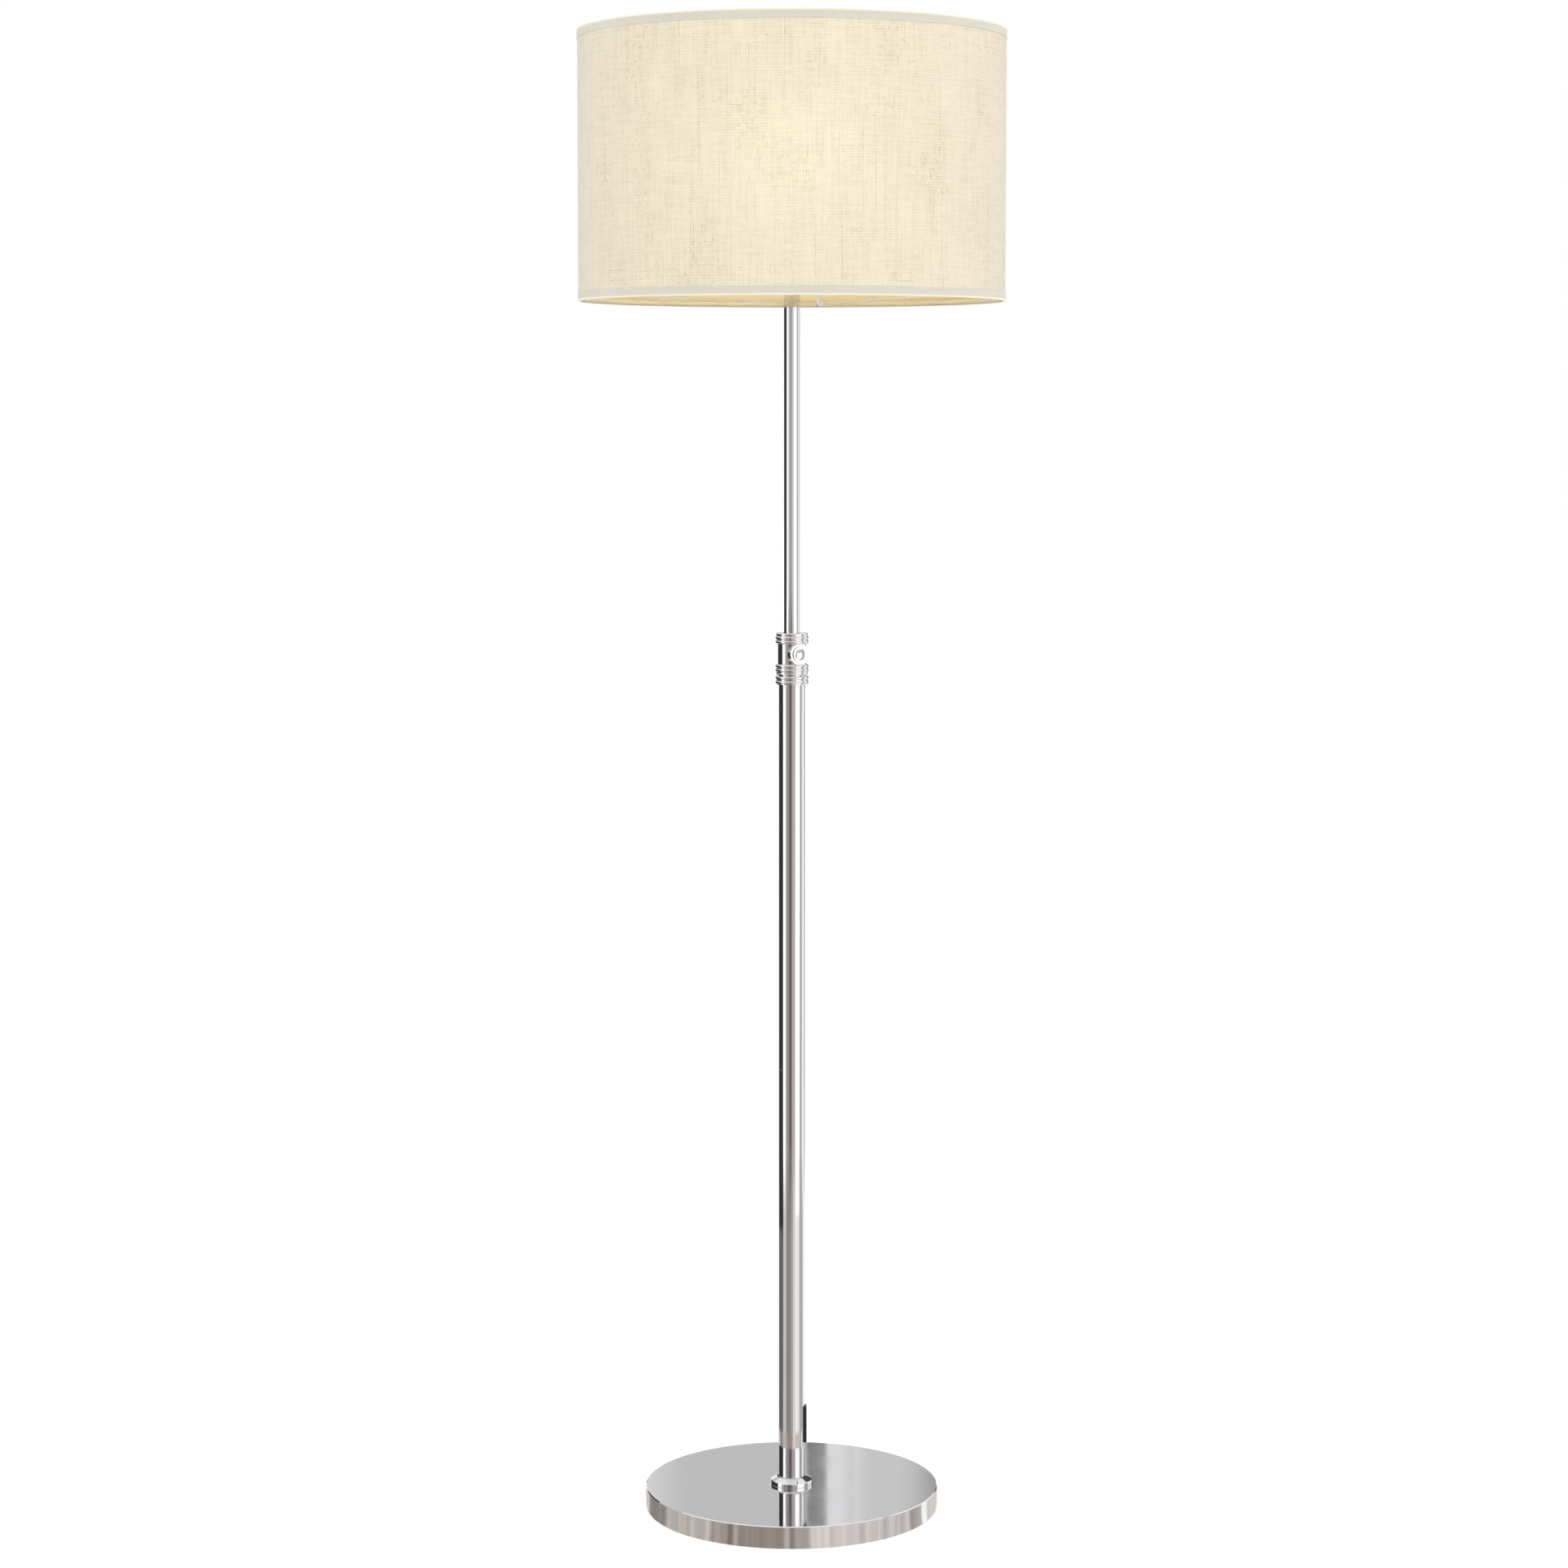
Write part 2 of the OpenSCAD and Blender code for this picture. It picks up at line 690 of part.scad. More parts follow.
module switch_housing() {
  snap_w = 4;
  snap_t = 1.4;
  snap_rise = 0.7;
  snap_inset = 0.5;
  snap_x = pole_in_r - snap_inset;
  body_depth = pole_r + bezel_rise / 2 - housing_back;
  color(black)
    difference() {
      // The bezel, saddled on the tube
      translate([0, 0, switch_z])
        rotate([90, 0, 0])
          linear_extrude(height = bezel_w, center = true)
            bezel_section();
      translate([0, 0, switch_z - bezel_h])
        cylinder(h = 2 * bezel_h, r = pole_r + press_gap);
      housing_pocket();
    }
  color(black)
    difference() {
      union() {
        translate([housing_back, -housing_w / 2, switch_z - housing_h / 2])
          cube([body_depth, housing_w, housing_h]);
        for (end = [-1, 1])
          translate([0, 0, switch_z + end * housing_h / 2])
            mirror([0, 0, end < 0 ? 1 : 0])
              rotate([90, 0, 0])
                linear_extrude(height = snap_w, center = true)
                  polygon([
                    [snap_x - 2 * snap_t, -through], [snap_x, -through],
                    [snap_x, snap_rise], [snap_x - 2 * snap_t, 0]
                  ]);
      }
      housing_pocket();
      translate([pivot_x, 0, switch_z])
        rotate([90, 0, 0])
          cylinder(h = housing_w + 2 * through, r = pivot_r + press_gap, center = true);
      for (y = [-terminal_y, terminal_y])
        translate([housing_back - through, y - terminal_w / 2 - press_gap,
            switch_z + terminal_up - terminal_t / 2 - press_gap])
          cube([3 * through, terminal_w + 2 * press_gap, terminal_t + 2 * press_gap]);
    }
}

// The room for the rocker, open on the outside
module housing_pocket() {
  translate([pocket_floor, -pocket_w / 2, switch_z - pocket_h / 2])
    cube([pole_r, pocket_w, pocket_h]);
}

// Turns its children about the pivot into the rest pose, from points (u, height) about the pivot
module rocker_shape(width) {
  translate([pivot_x, 0, switch_z])
    rotate([0, -rocker_lean, 0])
      rotate([90, 0, 0])
        linear_extrude(height = width, center = true)
          children();
}

module switch_rocker() {
  corner_u = rocker_u - rocker_round;
  corner_z = rocker_half - rocker_round;
  color(black)
    difference() {
      rocker_shape(rocker_w) {
        polygon([
          [rocker_heel_u, -rocker_half / 2], [rocker_waist_u, -rocker_half],
          [corner_u, -rocker_half], [rocker_u, -corner_z], [rocker_u - rocker_dip, 0],
          [rocker_u, corner_z], [corner_u, rocker_half], [rocker_waist_u, rocker_half],
          [rocker_heel_u, rocker_half / 2]
        ]);
        for (z = [-corner_z, corner_z])
          translate([corner_u, z])
            circle(r = rocker_round);
        circle(r = rocker_hub_r);
        translate([rocker_post_u, -rocker_hub_r])
          square([-rocker_post_u, 2 * rocker_hub_r]);
      }
      translate([pivot_x, 0, switch_z])
        rotate([90, 0, 0])
          cylinder(h = rocker_w + 2 * through, r = pivot_r + slide_gap, center = true);
    }
}

module rocker_pin() {
  color(zinc)
    translate([pivot_x, 0, switch_z])
      rotate([90, 0, 0])
        cylinder(h = housing_w, r = pivot_r, center = true);
}

module contact_bridge() {
  color(brass)
    rocker_shape(bridge_w) {
      translate([rocker_post_u - bridge_t, -rocker_hub_r])
        square([bridge_t, bridge_reach + rocker_hub_r]);
      translate([rocker_post_u - 2 * bridge_t, terminal_up - bridge_t])
        square([bridge_t, 2 * bridge_t]);
    }
}

module switch_terminals() {
  button_u = rocker_post_u - 2 * bridge_t;
  touch_u = button_u * cos(rocker_lean) - (terminal_up + bridge_t) * sin(rocker_lean);
  terminal_out = pivot_x + touch_u - terminal_gap;
  terminal_in = housing_back - terminal_tail;
  color(brass)
    for (y = [-terminal_y, terminal_y])
      translate([terminal_in, y - terminal_w / 2, switch_z + terminal_up - terminal_t / 2])
        cube([terminal_out - terminal_in, terminal_w, terminal_t]);
}

module clamp_pad() {
  color(brass)
    difference() {
      along_screw()
        cylinder(h = pad_back, r = pad_r);
      translate([0, 0, screw_z - pad_d])
        cylinder(h = 2 * pad_d, r = pad_face);
      along_screw()
        translate([0, 0, pad_back - pilot_l - slide_gap])
          cylinder(h = pilot_l + through, r = pilot_r + slide_gap);
    }
}

module thumb_screw() {
  color(chrome)
    along_screw()
      rotate_extrude()
        union() {
          translate([0, pad_back - pilot_l])
            square([pilot_r, pilot_l + through]);
          translate([0, pad_back])
            square([screw_r, head_low + head_t - pad_back]);
          ridge_section(head_low, head_t, 0, head_d / 2, head_round);
          intersection() {
            translate([0, head_low + head_t + dome_rise - dome_sphere_r])
              circle(r = dome_sphere_r);
            translate([0, head_low + head_round])
              square([dome_r, head_t + dome_rise]);
          }
        }
}

module guide_bush() {
  color(nylon)
    rotate_extrude()
      polygon([
        [inner_in_r - guide_ledge, guide_low], [pole_in_r - slide_gap - edge_cut, guide_low],
        [pole_in_r - slide_gap, guide_low + edge_cut],
        [pole_in_r - slide_gap, guide_low + guide_l - edge_cut],
        [pole_in_r - slide_gap - edge_cut, guide_low + guide_l],
        [inner_r + slide_gap, guide_low + guide_l],
        [inner_r + slide_gap, guide_low + guide_floor_t],
        [inner_in_r - guide_ledge, guide_low + guide_floor_t]
      ]);
}

module bush_clip() {
  opening = 5;
  color(zinc)
    difference() {
      pipe(clip_low, clip_low + clip_t, inner_r - clip_depth + clip_w,
        inner_r - clip_depth + press_gap);
      translate([0, -opening / 2, clip_low - through])
        cube([pole_r, opening, clip_t + 2 * through]);
    }
}

module inner_tube() {
  color(chrome)
    difference() {
      pole_section(tube_low, pole_top, inner_r, inner_in_r);
      pipe(clip_low - press_gap, clip_low + clip_t + press_gap, pole_r, inner_r - clip_depth);
    }
}

module pole_insert() {
  color(zinc)
    pipe(pole_top - insert_l, pole_top, inner_in_r - press_gap, nipple_r + thread_gap);
}

module holder_nipple() {
  color(zinc)
    pipe(pole_top - nipple_grip, nipple_top, nipple_r, stud_bore_r);
}

module holder_nut() {
  color(zinc)
    hex_nut(pole_top + neck_h + cap_floor_t, holder_nut_h, holder_nut_w, nipple_r + thread_gap);
}

module holder_cap() {
  arc_x = holder_r - cap_arc_r;
  bore_r = nipple_r + thread_gap;
  color(white)
    rotate_extrude() {
      translate([bore_r, pole_top])
        square([neck_r - bore_r, neck_h + cap_floor_t]);
      difference() {
        intersection() {
          translate([arc_x, cap_arc_z])
            circle(r = cap_arc_r);
          translate([arc_x, cap_arc_z - cap_arc_r])
            square([cap_arc_r, cap_arc_r]);
        }
        translate([arc_x, cap_arc_z])
          circle(r = cap_arc_r - holder_wall);
      }
      translate([spigot_in_r, cap_arc_z - ledge_w])
        square([holder_r - holder_wall - spigot_in_r, ledge_w]);
      translate([spigot_in_r, cap_arc_z])
        square([holder_r - spigot_in_r, cap_top - cap_arc_z]);
      translate([spigot_in_r - ledge_w, block_low - ledge_w])
        square([2 * ledge_w, ledge_w]);
      translate([spigot_in_r, cap_top - through])
        square([spigot_r - spigot_in_r, spigot_h + through]);
    }
}

module holder_skirt() {
  color(white) {
    pipe(cap_top, holder_top - lip_t, holder_r, holder_r - holder_wall);
    pipe(holder_top - lip_t, holder_top, holder_r, sleeve_in_r + shell_t + 2 * press_gap);
  }
}

module contact_block() {
  color(ceramic)
    difference() {
      translate([0, 0, block_low])
        cylinder(h = block_h, r = block_r);
      // Two holes for the leads, and two for the terminal screws
      for (side = [-1, 1]) {
        translate([0, side * terminal_screw_x, block_low - through])
          cylinder(h = block_h + 2 * through, r = terminal_screw_r);
        translate([side * terminal_screw_x, 0, block_low - through])
          cylinder(h = block_h / 2 + through, r = terminal_screw_r + thread_gap);
      }
    }
}

module thread_sleeve() {
  color(brass) {
    pipe(block_top, block_top + shell_t, sleeve_in_r + shell_t + shell_flange_w, sleeve_in_r);
    pipe(block_top + shell_t, shell_top, sleeve_in_r + shell_t, sleeve_in_r);
  }
}

module centre_contact() {
  strip_w = 6;
  foot_x = 8;
  bend = 0.3;
  color(brass)
    rotate([90, 0, 0])
      linear_extrude(height = strip_w, center = true)
        polygon([
          [-foot_x, block_top], [-foot_x / 2, block_top], [0, block_top + contact_rise - shell_t],
          [foot_x / 2, block_top + contact_rise - shell_t], [foot_x / 2, block_top + contact_rise],
          [-bend, block_top + contact_rise], [-foot_x / 2 - bend, block_top + shell_t],
          [-foot_x, block_top + shell_t]
        ]);
}

module terminal_screws() {
  driver_slot = 0.8;
  color(zinc)
    for (side = [-1, 1])
      translate([side * terminal_screw_x, 0, block_low - terminal_head_h])
        difference() {
          union() {
            cylinder(h = terminal_head_h, r = terminal_head_r);
            cylinder(h = terminal_head_h + block_h / 2 - thread_gap, r = terminal_screw_r);
          }
          translate([-terminal_head_r - through, -driver_slot / 2, -through])
            cube([2 * (terminal_head_r + through), driver_slot, through + driver_slot]);
        }
}

// A threaded ring with finger notches round its rim
module shade_ring(z_low) {
  notch_count = 12;
  notch_r = 2.5;
  notch_depth = 1;
  difference() {
    pipe(z_low, z_low + shade_ring_h, shade_ring_d / 2, holder_r + thread_gap);
    for (i = [0 : notch_count - 1])
      rotate([0, 0, i * 360 / notch_count])
        translate([shade_ring_d / 2 + notch_r - notch_depth, 0, z_low - through])
          cylinder(h = shade_ring_h + 2 * through, r = notch_r);
  }
}

module shade_ring_lower() {
  color(white)
    shade_ring(fitter_low - shade_ring_h);
}

module shade_ring_upper() {
  color(white)
    shade_ring(fitter_low + fitter_t);
}

module bulb_tip() {
  color(zinc)
    translate([0, 0, bulb_low])
      cylinder(h = tip_h, r = tip_r);
}

module bulb_insulator() {
  color(black)
    translate([0, 0, bulb_low + tip_h])
      cylinder(h = insulator_h, r1 = tip_r, r2 = insulator_r);
}

module bulb_cap() {
  shell_low = bulb_low + tip_h + insulator_h;
  color(zinc)
    rotate_extrude()
      polygon([
        [0, shell_low], [insulator_r, shell_low], [bulb_cap_r, shell_low + cap_bevel],
        [bulb_cap_r, bulb_cap_top], [bulb_cap_r - cap_shell_t, bulb_cap_top],
        [bulb_cap_r - cap_shell_t, shell_low + cap_bevel], [0, shell_low + cap_bevel]
      ]);
}

// The radius of the bulb's body at a share of its height: a half cosine from neck to globe
function flare(share, inset) =
  bulb_neck_r - inset + (globe_mouth_r - bulb_neck_r) * (1 - cos(180 * share)) / 2;

module bulb_housing() {
  height = globe_low - bulb_cap_top;
  color(white)
    rotate_extrude()
      polygon(concat(
        [for (i = [0 : flare_steps])
          [flare(i / flare_steps, 0), bulb_cap_top + height * i / flare_steps]],
        [for (i = [flare_steps : -1 : 0])
          [flare(i / flare_steps, 2 * globe_wall), bulb_cap_top + height * i / flare_steps]]
      ));
}

module bulb_globe() {
  color(lit)
    difference() {
      translate([0, 0, globe_z])
        sphere(r = globe_r);
      translate([0, 0, globe_z])
        sphere(r = globe_r - globe_wall);
      translate([0, 0, globe_low - globe_r])
        cylinder(h = globe_r, r = globe_r + through);
    }
}

// Places its children along every spoke, with +Z from the lower ring's wire up to the fitter's rim
module along_spokes() {
  for (i = [0 : spoke_count - 1])
    rotate([0, 0, 90 - spoke_bearing - i * 360 / spoke_count])
      translate([ring_r, 0, wire_z])
        rotate([0, spoke_slope - 90, 0])
          children();
}

// A wire bent into a full ring
module wire_ring(z) {
  rotate_extrude()
    translate([ring_r, z])
      circle(r = wire_r);
}

module shade_frame() {
  color(white) {
    wire_ring(wire_z);
    along_spokes()
      cylinder(h = spoke_l, r = spoke_d / 2);
    pipe(fitter_low, fitter_low + fitter_t, fitter_r, fitter_hole_d / 2);
  }
}

module top_ring() {
  color(white)
    wire_ring(shade_top - wire_up);
}

module shade_liner() {
  color(white)
    pipe(shade_low + cloth_inset, shade_top - cloth_inset, liner_r, liner_r - liner_t);
}

module shade_fabric() {
  color(linen)
    pipe(shade_low + cloth_inset, shade_top - cloth_inset, fabric_r, fabric_r - fabric_t);
}

// Tape folded over the shade's edge: flat outside, and wrapped round the wire inside
module edging() {
  outer_r = shade_d / 2;
  wrap_r = wire_r + wire_gap + trim_t;
  rotate_extrude()
    difference() {
      union() {
        translate([ring_r, wire_up])
          circle(r = wrap_r);
        translate([ring_r, 0])
          square([outer_r - trim_t - ring_r, trim_h]);
        translate([ring_r, trim_t])
          square([outer_r - ring_r, trim_h - trim_t]);
        translate([outer_r - trim_t, trim_t])
          circle(r = trim_t);
      }
      translate([ring_r, wire_up])
        circle(r = wire_r + wire_gap);
      translate([ring_r, trim_t])
        square([outer_r - trim_t - ring_r, trim_h]);
    }
}

module trim_top() {
  color(tape)
    translate([0, 0, shade_top])
      mirror([0, 0, 1])
        edging();
}

module trim_bottom() {
  slit_w = spoke_d + 2 * free_gap;
  slit_l = 2 * wire_d;
  color(tape)
    difference() {
      translate([0, 0, shade_low])
        edging();
      // The slits that let the spokes in
      along_spokes()
        translate([-slit_w / 2, -slit_w / 2, 0])
          cube([slit_w, slit_w, slit_l]);
    }
}

base_pad();
base_cover();
base_weight();
cord_grommet();
base_stud();
base_washer();
base_nut();
foot_plug();
foot_collar();
lower_tube();
tube_joiner();
middle_tube();
end_ring();
clamp_collar();
collar_bush();
switch_housing();
switch_terminals();
rocker_pin();
switch_rocker();
contact_bridge();
clamp_pad();
thumb_screw();
guide_bush();
bush_clip();
inner_tube();
pole_insert();
holder_nipple();
holder_nut();
holder_cap();
holder_skirt();
contact_block();
thread_sleeve();
centre_contact();
terminal_screws();
shade_ring_lower();
shade_ring_upper();
bulb_tip();
bulb_insulator();
bulb_cap();
bulb_housing();
bulb_globe();
shade_frame();
top_ring();
shade_liner();
shade_fabric();
trim_top();
trim_bottom();
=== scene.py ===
"""Looks, light and camera for a telescopic floor lamp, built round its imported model.

Lengths are metres in the model's own frame: +Z runs up the pole, -Y points at the viewer
and +X at the side with the switch. Azimuths of the studio's cards are counted from the
viewer's side, to the right.
"""
import math

import bmesh
import bpy
import numpy as np
from bpy.props import FloatProperty, FloatVectorProperty, IntProperty, PointerProperty
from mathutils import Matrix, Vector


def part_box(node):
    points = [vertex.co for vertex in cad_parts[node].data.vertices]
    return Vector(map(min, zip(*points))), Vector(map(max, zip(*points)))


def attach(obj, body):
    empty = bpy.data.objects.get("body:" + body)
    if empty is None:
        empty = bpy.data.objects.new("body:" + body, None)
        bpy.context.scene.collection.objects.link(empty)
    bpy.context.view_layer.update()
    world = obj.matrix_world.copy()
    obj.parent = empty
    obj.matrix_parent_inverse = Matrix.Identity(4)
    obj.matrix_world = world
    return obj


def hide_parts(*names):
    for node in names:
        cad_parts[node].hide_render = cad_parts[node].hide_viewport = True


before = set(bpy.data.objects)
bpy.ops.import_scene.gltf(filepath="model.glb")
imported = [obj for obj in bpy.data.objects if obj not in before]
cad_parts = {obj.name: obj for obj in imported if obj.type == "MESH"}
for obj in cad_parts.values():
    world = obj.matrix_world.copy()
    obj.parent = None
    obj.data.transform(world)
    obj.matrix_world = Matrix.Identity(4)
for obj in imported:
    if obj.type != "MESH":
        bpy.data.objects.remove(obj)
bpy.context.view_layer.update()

bl_info = {
    "name": "Telescopic Floor Lamp",
    "version": (1, 0, 0),
    "blender": (4, 5, 0),
    "location": "3D View > Sidebar > Floor Lamp",
    "description": "Cloth shade, chrome pole and studio for a telescopic floor lamp",
    "category": "Object",
}

MM = 0.001
CLOTH_UV = "cloth"
SHARP = math.radians(35)
WHITE = (1.0, 1.0, 1.0)

THREAD_PITCH = 2.4 * MM  # of the linen's weave
SEAM_EDGE = 0.4 * MM  # width of the step at the side of the cloth's overlap
TAPE_RIB = 0.9 * MM  # from one rib of the edging tape to the next
RIM_RADIUS = (138.8 * MM, 139.6 * MM)  # over which the base's top turns into its rim
RIM_TOP = (20.5 * MM, 21.5 * MM)  # over which the rim's painted reflection streaks fade at the bevel
SEEN_GLOBE_LEVEL = 15.0  # how strong the globe looks, however strongly it shines

# The pieces of the model, by the finish that they share
TUBES = ("lower_tube", "middle_tube", "inner_tube")
TURNED = ("foot_collar", "end_ring", "clamp_collar")
ZINC = (
    "base_stud", "base_washer", "base_nut", "foot_plug", "tube_joiner", "rocker_pin", "bush_clip",
    "pole_insert", "holder_nipple", "holder_nut", "terminal_screws", "bulb_tip",
)
BRASS = ("switch_terminals", "contact_bridge", "clamp_pad", "thread_sleeve", "centre_contact")
MOULDED_WHITE = ("holder_cap", "shade_ring_lower", "shade_ring_upper", "bulb_housing")
NYLON = ("collar_bush", "guide_bush")
PAINTED_WIRE = ("shade_frame", "top_ring")


# ---- settings

def length(name, description, default):
    """A length in metres that a user may change."""
    return FloatProperty(name=name, description=description, default=default, min=0, unit="LENGTH", precision=5)


def angle_setting(name, description, degrees):
    """An angle that a user may change."""
    return FloatProperty(name=name, description=description, default=math.radians(degrees), subtype="ANGLE")


def strength(name, description, default):
    """A strength of light that a user may change."""
    return FloatProperty(name=name, description=description, default=default, min=0)


def colour(name, description, default):
    """A colour that a user may change."""
    return FloatVectorProperty(name=name, description=description, default=default, min=0, max=1, size=3,
                               subtype="COLOR")


class LampShadeSettings(bpy.types.PropertyGroup):
    cloth_thickness: length("Cloth thickness", "Thickness of the linen", 0.5 * MM)
    overlap_width: length("Overlap", "Width of the cloth's glued overlap at the rear", 12 * MM)
    overlap_rise: length("Overlap rise", "How far the overlap stands out", 0.3 * MM)
    tape_thickness: length("Tape thickness", "Thickness of the edging tape", 0.45 * MM)
    tape_height: length("Tape height", "Height of the edging tape outside", 8.5 * MM)
    wire_radius: length("Wire radius", "Radius of the wire of the two rings", 1.9 * MM)
    wire_gap: length("Wire gap", "Room between the wire and the tape round it", 0.25 * MM)
    ring_radius: length("Ring radius", "Radius of the wire rings' centre line", 196.3 * MM)
    spoke_radius: length("Spoke radius", "Radius of a spoke", 1.75 * MM)
    spoke_count: IntProperty(name="Spokes", description="Number of spokes", default=3, min=1)
    spoke_bearing: angle_setting("First spoke", "Bearing of the first spoke from the rear to the right", 8.3)


class LampFittingSettings(bpy.types.PropertyGroup):
    thread_pitch: length("Thread pitch", "Pitch of the lampholder's outer thread", 2.6 * MM)
    thread_depth: length("Thread depth", "Depth of the lampholder's outer thread", 0.6 * MM)
    skirt_wall: length("Skirt wall", "Wall of the lampholder's skirt", 1.2 * MM)
    lip_height: length("Lip height", "Height of the lip that holds the thread sleeve", 3 * MM)
    lip_bore: length("Lip bore", "Radius of the hole in that lip", 14 * MM)
    weld_size: length("Weld size", "How far a weld stands out from its spoke", 0.9 * MM)
    pad_rounding: length("Pad rounding", "Rounding of the felt pad's edge", 0.5 * MM)


class LampColourSettings(bpy.types.PropertyGroup):
    chrome: colour("Chrome", "Polished chrome", (0.78, 0.78, 0.79))
    linen: colour("Linen", "Cloth of the shade", (0.87, 0.795, 0.66))
    slub: colour("Slubs", "Thick dark threads in the cloth", (0.50, 0.40, 0.14))
    liner: colour("Liner", "Stiff film inside the shade", (0.88, 0.74, 0.46))
    tape: colour("Edging tape", "Tape on the shade's edges", (0.79, 0.755, 0.64))
    # Painted shade: the tape's inner side, darker and warmer to stand in for the lamp's light on it.
    tape_inside_painted_shade: colour("Tape inside", "Side of the tape that faces the lamp", (0.54, 0.49, 0.35))
    light: colour("Lamplight", "Light of the bulb", (1.0, 0.97, 0.84))
    light_level: strength("Lamplight level", "Strength of the bulb's light on the liner", 75)
    # Painted lamplight: the cloth's emission, which stands in for the bulb's light soaking through it.
    glow: colour("Cloth glow", "Light that soaks through the cloth", (0.19, 0.155, 0.108))


class LampStageSettings(bpy.types.PropertyGroup):
    camera_distance: length("Camera distance", "From the pole to the camera", 3.4384)
    camera_height: length("Camera height", "Height of the camera above the floor", 1.0501)
    camera_left: length("Camera offset", "How far the camera stands to the left of the pole", 0.0073)
    camera_pitch: angle_setting("Camera pitch", "How far the camera looks down", 5)
    camera_lens: FloatProperty(name="Lens", description="Focal length on a sensor 36 mm wide", default=83.81)
    camera_shift: FloatProperty(name="Lens shift", description="Upward shift of the frame", default=-0.0343)
    sky_level: strength("Sky level", "Light from all round", 0.72)
    sun_level: strength("Key level", "Light of the soft key lamp", 1.05)


GROUPS = {
    "lamp_shade": LampShadeSettings,
    "lamp_fittings": LampFittingSettings,
    "lamp_colours": LampColourSettings,
    "lamp_stage": LampStageSettings,
}


# ---- meshes

def grid_faces(rows, columns, wrap_rows, wrap_columns):
    """The four corners of every square of a grid, as (row, column) pairs that aren't wrapped yet."""
    row = np.arange(rows if wrap_rows else rows - 1)
    column = np.arange(columns if wrap_columns else columns - 1)
    r, c = (a.ravel() for a in np.meshgrid(row, column, indexing="ij"))
    return np.stack([r, r, r + 1, r + 1], 1), np.stack([c, c + 1, c + 1, c], 1)


def signed_volume(points, faces):
    """Six times the volume inside the faces: each corner's triple product with the next two, summed."""
    a, b, c, d = (points[faces[:, i]] for i in range(4))
    return (np.cross(a, b) * c).sum() + (np.cross(a, c) * d).sum()


def surface(name, points, body, *materials, wrap_rows=True, wrap_columns=True, uv=None, inner_rows=()):
    """A new piece over a grid of points shaped (rows, columns, 3), which rides on a body.

    Each square of four neighbours is one face, and a wrapped direction joins its last line to its
    first. Where the grid closes on itself the faces are turned outwards by the sign of the volume.
    uv is shaped (rows + 1, columns + 1, 2), so that the map doesn't jump back where the grid wraps.
    Faces whose row is in inner_rows take the second material.
    """
    rows, columns = points.shape[:2]
    corner_rows, corner_columns = grid_faces(rows, columns, wrap_rows, wrap_columns)
    faces = (corner_rows % rows) * columns + corner_columns % columns
    flat = points.reshape(-1, 3)
    if signed_volume(flat, faces) < 0:
        faces, corner_rows, corner_columns = (a[:, ::-1] for a in (faces, corner_rows, corner_columns))
    mesh = bpy.data.meshes.new(name)
    mesh.vertices.add(len(flat))
    mesh.vertices.foreach_set("co", flat.astype(np.float32).ravel())
    mesh.loops.add(faces.size)
    mesh.loops.foreach_set("vertex_index", faces.astype(np.int32).ravel())
    mesh.polygons.add(len(faces))
    mesh.polygons.foreach_set("loop_start", np.arange(0, faces.size, 4, dtype=np.int32))
    mesh.polygons.foreach_set("material_index",
                              np.isin(corner_rows.min(1), list(inner_rows)).astype(np.int32))
    if uv is not None:
        layer = mesh.uv_layers.new(name=CLOTH_UV)
        layer.data.foreach_set("uv", uv[corner_rows, corner_columns].astype(np.float32).ravel())
    mesh.update(calc_edges=True)
    mesh.validate()
    mesh.shade_smooth()
    mesh.set_sharp_from_angle(angle=SHARP)
    for material in materials:
        mesh.materials.append(material)
    piece = bpy.data.objects.new(name, mesh)
    bpy.context.scene.collection.objects.link(piece)
    if body:
        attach(piece, body)
    return piece


def close_poles(piece):
    """Merges the points that lie on each other at a pole, and turns the faces outwards again."""
    work = bmesh.new()
    work.from_mesh(piece.data)
    bmesh.ops.remove_doubles(work, verts=work.verts, dist=1e-7)
    bmesh.ops.recalc_face_normals(work, faces=work.faces)
    work.to_mesh(piece.data)
    work.free()
    piece.data.set_sharp_from_angle(angle=SHARP)


def turned_points(radius, height, angle):
    """Points at distance radius from the pole's axis and at that height, for each angle from +X."""
    return np.stack(np.broadcast_arrays(radius * np.cos(angle), radius * np.sin(angle), height), -1)


def full_circle(count):
    """Equal angles once round, from the rear."""
    return math.pi / 2 + np.arange(count) * math.tau / count


def ramp(value, low, high):
    """0 below low, 1 above high, and a smooth step between them."""
    t = np.clip((value - low) / (high - low), 0, 1)
    return t * t * (3 - 2 * t)


def spoke_angles(shade):
    """The angle of each spoke of the shade, from +X."""
    return math.pi / 2 - shade.spoke_bearing - np.arange(shade.spoke_count) * math.tau / shade.spoke_count


def ribbon_loop(line, normal, half):
    """The closed outline of a strip: the line moved along its normal by half, and back on the other side."""
    return np.concatenate([line + normal * half, (line - normal * half)[::-1]])


# ---- materials

def arithmetic(operation, swapped=False):
    """The method of Socket for an operator."""
    def method(self, other):
        return self.finish.math(operation, *((other, self) if swapped else (self, other)))
    return method


class Socket:
    """A shader value. Each operator on it adds a Math node, so 1 - mask is a node too."""

    def __init__(self, finish, socket):
        self.finish = finish
        self.socket = socket

    __add__ = __radd__ = arithmetic("ADD")
    __sub__ = arithmetic("SUBTRACT")
    __rsub__ = arithmetic("SUBTRACT", swapped=True)
    __mul__ = __rmul__ = arithmetic("MULTIPLY")
    __rtruediv__ = arithmetic("DIVIDE", swapped=True)
    __pow__ = arithmetic("POWER")


class Outputs:
    """The outputs of a node, by name or number."""

    def __init__(self, finish, made):
        self.finish = finish
        self.made = made

    def __getitem__(self, key):
        return Socket(self.finish, self.made.outputs[key])


